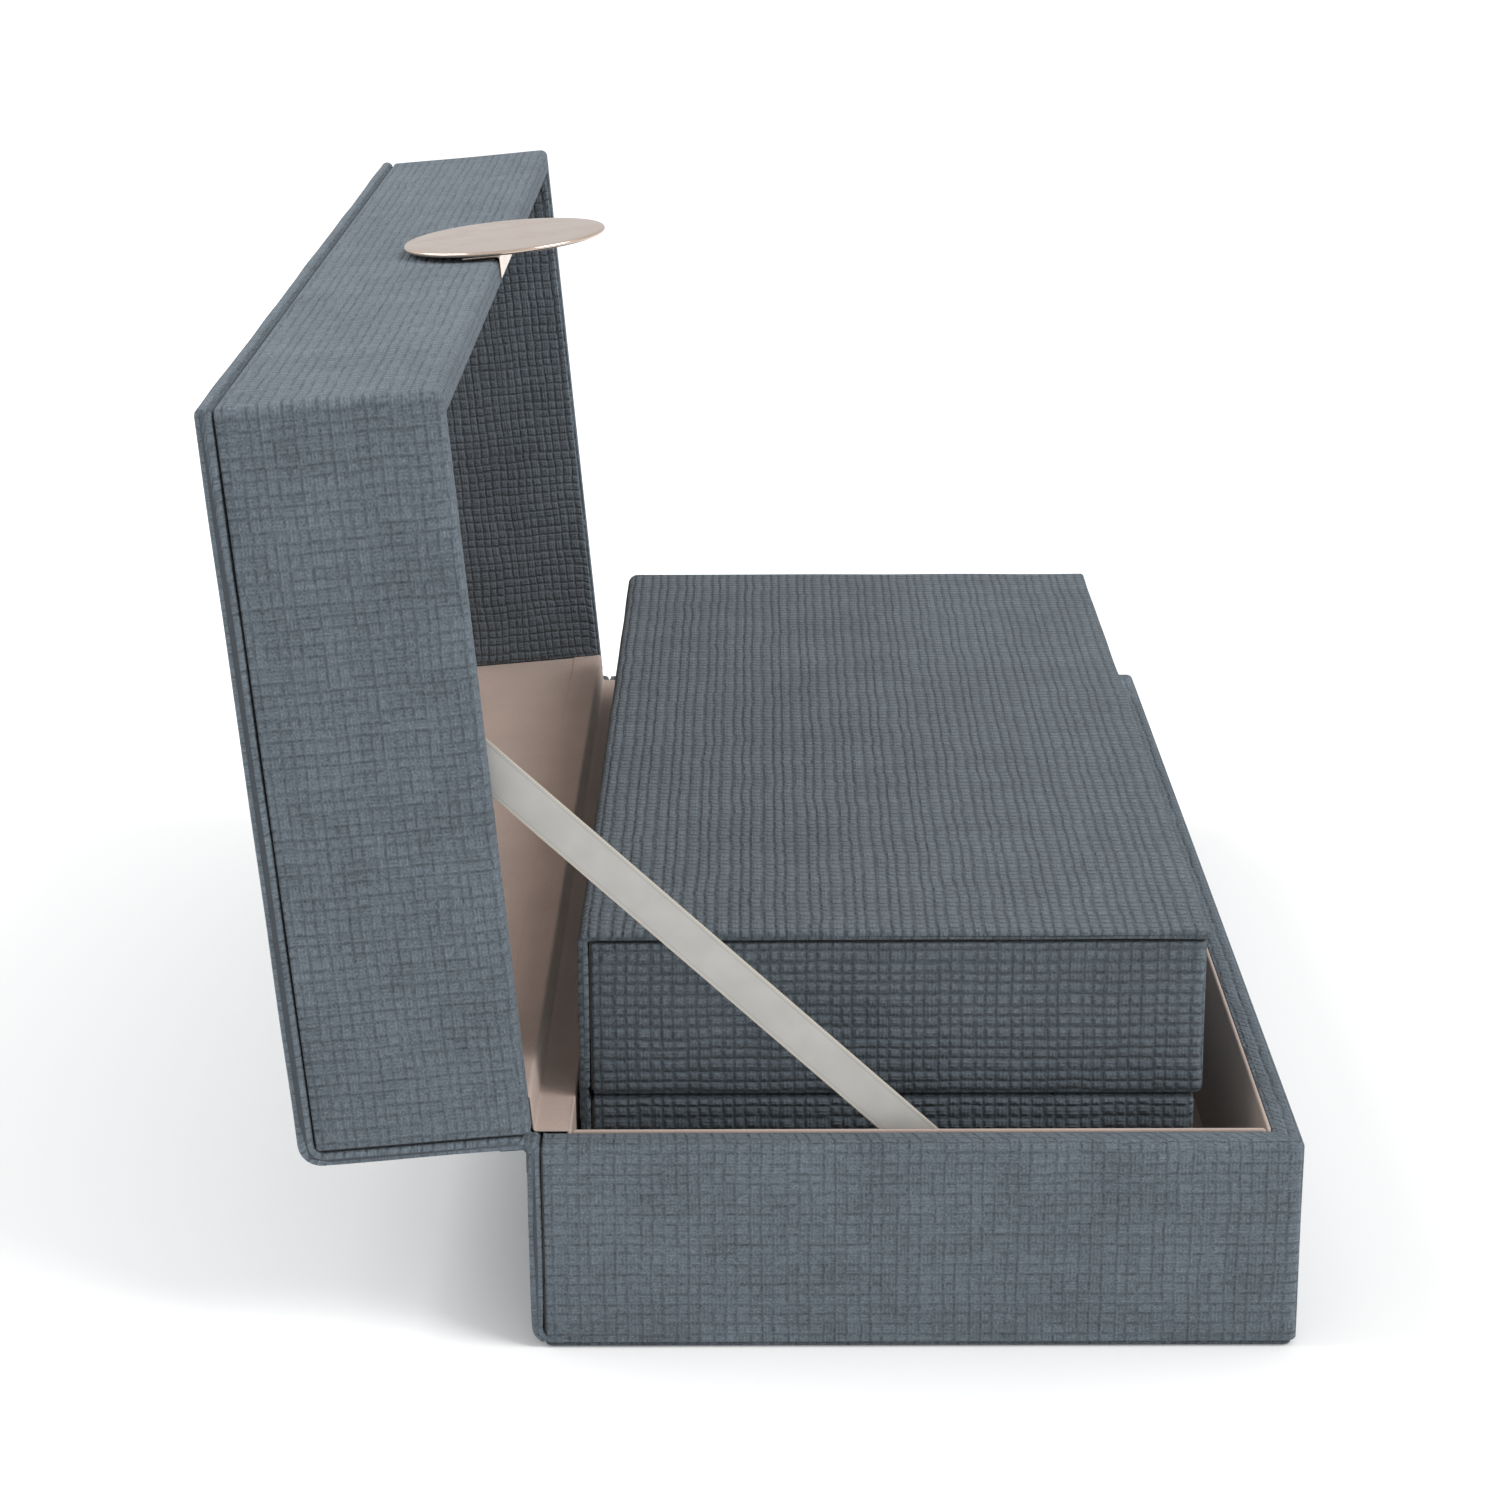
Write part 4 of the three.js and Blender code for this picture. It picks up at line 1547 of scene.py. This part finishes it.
    def _make_plate(self, maker: Maker) -> None:
        """Makes the plate: a flat back, a half-round rim and a front domed as a parabola."""
        low, high = self.lid_place.box("clasp_disc")
        radius, thick = (high[0] - low[0]) / 2, high[1] - low[1] - self.dome
        edge = thick / 2
        eye = 0.4 * MM
        back = np.column_stack((np.linspace(eye, radius - edge, 14), np.zeros(14)))
        rim = arc((radius - edge, edge), edge, -90, 90, 13)[1:]
        shares = np.linspace(1, 0.015, 16)[1:]
        front = np.column_stack(((radius - edge) * shares, thick + self.dome * (1 - shares**2)))
        centre = ((low[0] + high[0]) / 2, high[1], (low[2] + high[2]) / 2)
        plate = Lathe("clasp_plate", self.lid_place, centre, np.concatenate((back, rim, front)))
        maker.hand_over(plate.build(), Finish.ROSE_GOLD, ["clasp_disc"], "outer_lid")

    def _make_bracket(self, maker: Maker) -> None:
        """Makes the bracket: a sheet that stands behind the plate and folds in over the lid's rim."""
        sheet, clear = self.sheet, 0.12 * MM
        low, high = self.lid_place.box("clasp_bracket")
        low[2] += clear
        line = np.concatenate((
            [(low[1] + sheet / 2, high[2] - sheet / 2)],
            arc((low[1] + sheet, low[2] + sheet * 0.75), sheet / 2, 180, 270, 5),
            [(high[1] - sheet / 4, low[2] + sheet / 4)],
        ))
        thick = np.array([sheet] * (len(line) - 2) + [sheet / 2, sheet / 2])
        ends = (low[0], high[0])
        bracket = CoverBoard("clasp_fold", self.lid_place, line, thick, ends, sheet / 5, uneven=0.0)
        maker.hand_over(bracket.build(), Finish.ROSE_GOLD, ["clasp_bracket"], "outer_lid")


@dataclass(frozen=True)
class InnerBox:
    """The smaller box that stands in the tray.

    Attributes:
        lining: The thickness of the lining round its walls.
        roll_round: The rounding of a ring roll's ends and lower edges.
        rolls: How many ring rolls it holds.
        hinge_below: How far the hinge's cloth runs down from the hinge line.
        hinge_above: How far it runs up.
        hinge_fold: How much thicker it is folded in the gap.
        base_place: Where its lower half stands.
        lid_place: Where its lid stands.
    """

    lining: float = 1.0 * MM
    roll_round: float = 3 * MM
    rolls: int = 4
    hinge_below: float = 6 * MM
    hinge_above: float = 7 * MM
    hinge_fold: float = 2.2 * MM
    base_place: Place = Place()
    lid_place: Place = field(default_factory=lambda: place_of("inner_lid_hinge"))

    def make_base(self, maker: Maker) -> None:
        """Makes the lower half's fabric, linings, dividers and ring rolls."""
        half = BoxHalf("inner_base", "inner_box", self.base_place, True, Finish.INNER_SUEDE)
        half.make_wrap(maker)
        half.make_panels(maker, {"floor_lining": (2, Finish.LINING)}, 0.4 * MM)
        self._make_back(maker)
        self._make_wall_lining(maker)
        for node, thin in (("divider_cross", 0), ("divider_long", 1)):
            panel = Panel.of(node, self.base_place, thin, 1.3 * MM)
            maker.hand_over(panel.build(), Finish.LINING, [node], "inner_box")
        for number in range(1, self.rolls + 1):
            self._make_roll(maker, f"ring_roll_{number}")

    def _make_back(self, maker: Maker) -> None:
        """Makes the covered board down the back."""
        node = "inner_base_back_cover"
        low, high = self.base_place.box(node)
        thick = high[1] - low[1]
        middle = (low[1] + high[1]) / 2
        line = refine(np.array([(middle, low[2] + thick / 2), (middle, high[2] - thick / 2)]), 5 * MM)
        cover = CoverBoard(f"{node}_cloth", self.base_place, line, thick, (low[0], high[0]), 1.0 * MM)
        maker.hand_over(cover.build(), Finish.INNER_SUEDE, [node], "inner_box")

    def _make_wall_lining(self, maker: Maker) -> None:
        """Makes the lining round the walls' insides, a closed strip with a rounded upper edge."""
        node = "inner_base_wall_lining"
        low, high = self.base_place.box(node)
        half = self.lining / 2
        room = Panel(node, self.base_place, low, high, 2, 0.0)
        section = np.concatenate((
            [(0.0, low[2]), (0.0, high[2] - half)],
            arc((half, high[2] - half), half, 180, 0, 6)[1:],
            [(self.lining, low[2])],
        ))
        rings = room.rings(low[:2], high[:2], section[:, 0])
        points = np.concatenate((rings, section[:, 1][:, None, None] + 0 * rings[..., :1]), axis=-1)
        points = np.concatenate((points, points[:1])).transpose(1, 0, 2)
        points = np.concatenate((points, points[:1]))
        columns = travel(np.concatenate((section, section[:1])))
        rows = travel(points[:, 0])
        cloth = np.stack(np.meshgrid(rows, columns, indexing="ij"), axis=-1)
        ring = make_mesh(f"{node}_cloth", Grid(points, cloth))
        weld(ring)
        maker.hand_over(ring, Finish.LINING, [node], "inner_box")

    def _make_roll(self, maker: Maker, node: str) -> None:
        """Makes one plump ring roll inside its CAD solid: a rounded bar, swollen by a cloth simulation."""
        low, high = self.base_place.box(node)
        side, end, top, under = 1.2 * MM, 0.6 * MM, 0.9 * MM, 0.27 * MM
        lower, upper = low + (side, end, under), high - (side, end, top)
        middle_x, half = (lower[0] + upper[0]) / 2, (upper[0] - lower[0]) / 2
        turn = self.roll_round
        outline = np.concatenate((
            arc((middle_x, upper[2] - half), half, 0, 180, 15),
            arc((lower[0] + turn, lower[2] + turn), turn, 180, 270, 5),
            arc((upper[0] - turn, lower[2] + turn), turn, 270, 360, 5),
        ))
        centre = np.array([middle_x, (lower[2] + upper[2]) / 2])
        place, drawn = soft_steps(upper[1] - lower[1], turn, 6 * MM)
        share = 1 - drawn / half
        rings = centre + share[:, None, None] * (outline[None] - centre)
        y = lower[1] + place[:, None] + 0 * rings[..., 0]
        points = np.stack((rings[..., 0], y, rings[..., 1]), axis=-1)
        gone = travel(np.concatenate((outline, outline[:1])))
        cloth = np.stack(np.meshgrid(place, gone, indexing="ij"), axis=-1)
        roll = make_mesh(f"{node}_cushion", Grid(points, cloth, closed=True, capped=True))
        Padding(voxel=3 * MM, pressure=4.0, cap=1.3 * MM).plump(roll)
        maker.hand_over(roll, Finish.LINING, [node], "inner_box")

    def make_lid(self, maker: Maker) -> None:
        """Makes the lid's fabric, book cover and pad."""
        half = BoxHalf("inner_lid", "inner_lid", self.lid_place, False, Finish.INNER_SUEDE)
        half.make_wrap(maker)
        BookCover("inner_lid_book_cover", "inner_lid", "inner_lid", self.lid_place, Finish.INNER_SUEDE,
                  bend=2.0 * MM, soft=1.2 * MM, own_spine=False).make(maker)
        make_pad(maker, "inner_lid_pad", self.lid_place, "inner_lid")

    def make_joint(self, maker: Maker) -> None:
        """Makes the cover's fabric across the hinge, a flat strip down the back while the box is shut."""
        low, high = self.base_place.box("inner_base_back_cover")
        height = self.lid_place.z
        proud, inset = 0.05 * MM, 0.1 * MM
        y = high[1] + proud
        line = refine(np.array([(y, height - self.hinge_below), (y, height + self.hinge_above)]), 0.5 * MM)
        strip = Strip("inner_hinge_strip", line, (low[0] + inset, high[0] - inset),
                      fold=self.hinge_fold, gap=(y, height + 0.7 * MM), reach=1.3 * MM)
        cloth = strip.build()
        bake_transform(cloth)
        maker.hand_over(cloth, Finish.INNER_SUEDE, ["inner_hinge_cloth"])
        strip.flat


# ---- The studio ----------------------------------------------------------------------------------


def facing(back: Array) -> Matrix:
    """The turn of a camera or a lamp whose back points the given way, level from side to side."""
    back = back / np.linalg.norm(back)
    side = np.cross((0, 0, 1), back)
    side = side / np.linalg.norm(side)
    turned = np.column_stack((side, np.cross(back, side), back))
    return Matrix(turned.tolist()).to_4x4()


@dataclass(frozen=True)
class Camera:
    """The camera: it looks along the case from its left end, and down.

    Attributes:
        eye: Where it stands.
        yaw: How far it is turned left of the X axis, in radians.
        pitch: How far it looks down.
        roll: How far it is turned about its own line of sight.
        focal: The focal length as a share of the picture's width.
    """

    eye: tuple[float, float, float] = (-0.980, 0.0371, 0.3978)
    yaw: float = 0.0038
    pitch: float = 0.3033
    roll: float = -0.0040
    focal: float = 2.3013

    def build(self) -> None:
        """Makes the camera and sets it as the scene's."""
        forward = np.array([
            math.cos(self.pitch) * math.cos(self.yaw),
            math.cos(self.pitch) * math.sin(self.yaw),
            -math.sin(self.pitch),
        ])
        data = bpy.data.cameras.new("camera")
        data.sensor_width = 36.0
        data.lens = self.focal * data.sensor_width
        data.clip_start, data.clip_end = 0.01, 20.0
        made = bpy.data.objects.new("camera", data)
        rolled = Matrix.Rotation(self.roll, 4, "Z")
        made.matrix_world = Matrix.Translation(self.eye) @ facing(-forward) @ rolled
        bpy.context.scene.collection.objects.link(made)
        bpy.context.scene.camera = made


@dataclass(frozen=True)
class Lamp:
    """A square soft light.

    Attributes:
        name: Its name.
        spot: Where it hangs.
        aim: What it points at.
        size: Its side.
        power: Its power, in watts.
    """

    name: str
    spot: tuple[float, float, float]
    aim: tuple[float, float, float]
    size: float
    power: float

    def build(self) -> None:
        """Makes the light."""
        data = bpy.data.lights.new(self.name, "AREA")
        data.size = self.size
        data.energy = self.power
        made = bpy.data.objects.new(self.name, data)
        made.matrix_world = Matrix.Translation(self.spot) @ facing(np.subtract(self.spot, self.aim))
        bpy.context.scene.collection.objects.link(made)


@dataclass(frozen=True)
class Studio:
    """The pale floor, the soft light and the camera.

    Attributes:
        lamp: The light behind the case.
        ambient: How bright the white surround is as a light.
        daylight: The daylight's strength.
        spread: How wide the daylight's source looks, in degrees.
        daylight_from: Where the daylight comes from.
        floor_reach: How far the floor runs each way.
        floor_colours: Its two shades.
    """

    lamp: Lamp = Lamp("back", spot=(0.2, 1.5, 1.5), aim=(0.0, 0.1, 0.15), size=1.2, power=24.0)
    ambient: float = 0.72
    daylight: float = 1.85
    spread: float = 30.0
    daylight_from: tuple[float, float, float] = (-0.55, -1.5, 1.75)
    floor_reach: float = 6.0
    floor_colours: tuple[Colour, Colour] = ((0.93, 0.93, 0.93), (0.96, 0.96, 0.96))

    def build(self) -> None:
        """Makes everything that isn't part of the case."""
        Camera().build()
        self.lamp.build()
        self._make_daylight()
        self._make_floor()
        scene = bpy.context.scene
        scene.view_settings.view_transform = "Standard"
        scene.world = self._make_world()

    def _make_world(self) -> bpy.types.World:
        """Makes a white surround that lights the case a little less than it shows."""
        world = bpy.data.worlds.new("studio")
        world.use_nodes = True
        tree = world.node_tree
        background = tree.nodes["Background"]
        background.inputs["Color"].default_value = (1.0, 1.0, 1.0, 1.0)
        ray = tree.nodes.new("ShaderNodeLightPath")
        strength = tree.nodes.new("ShaderNodeMapRange")
        strength.inputs["To Min"].default_value = self.ambient
        strength.inputs["To Max"].default_value = 1.0
        tree.links.new(ray.outputs["Is Camera Ray"], strength.inputs["Value"])
        tree.links.new(strength.outputs[0], background.inputs["Strength"])
        return world

    def _make_daylight(self) -> None:
        """Makes a broad soft light from above the front, which brings out the relief."""
        data = bpy.data.lights.new("daylight", "SUN")
        data.energy = self.daylight
        data.angle = math.radians(self.spread)
        made = bpy.data.objects.new("daylight", data)
        made.matrix_world = facing(np.array(self.daylight_from))
        bpy.context.scene.collection.objects.link(made)

    def _make_floor(self) -> None:
        """Makes a wide floor, its height zero and its corners far outside the view."""
        reach = np.array([-self.floor_reach, self.floor_reach])
        x, y = np.meshgrid(reach, reach, indexing="ij")
        grid = Grid(np.stack((x, y, 0 * x), axis=-1), np.stack((x, y), axis=-1))
        floor = make_mesh("floor", grid)
        shader = Shader("pale_floor")
        cloud = shader.noise(shader.body(), 0.4, 2.0)
        colour = shader.mix(cloud, *self.floor_colours)
        floor.data.materials.append(shader.dress(Base_Color=colour, Roughness=0.7))


# ---- Everything ----------------------------------------------------------------------------------


def dress_frame(wardrobe: Wardrobe) -> None:
    """Gives the CAD nodes that stay in sight their finishes."""
    papered = {f"inner_lid_{side}_board": Finish.PAPERED_BOARD for side in ("front", "back", "left", "right")}
    wardrobe.dress_frame(papered | {
        "closure_magnet": Finish.STEEL,
        "clasp_rivet_left": Finish.STEEL,
        "clasp_rivet_right": Finish.STEEL,
    })


def main() -> None:
    """Builds the studio and the case, piece by piece."""
    logging.basicConfig(level=logging.INFO, format="%(message)s", stream=sys.stdout)
    Studio().build()
    outer = OuterBox(ribbon_width=10 * MM)
    wardrobe = Wardrobe(outer.ribbon_width)
    dress_frame(wardrobe)
    maker = Maker(wardrobe)
    outer.make_base(maker)
    outer.make_lid(maker)
    outer.make_joint(maker)
    outer.make_ribbon(maker)
    outer.make_clasp(maker)
    inner = InnerBox()
    inner.make_base(maker)
    inner.make_lid(maker)
    inner.make_joint(maker)
    log.info("%d pieces", maker.count)


if __name__ == "__main__":
    main()
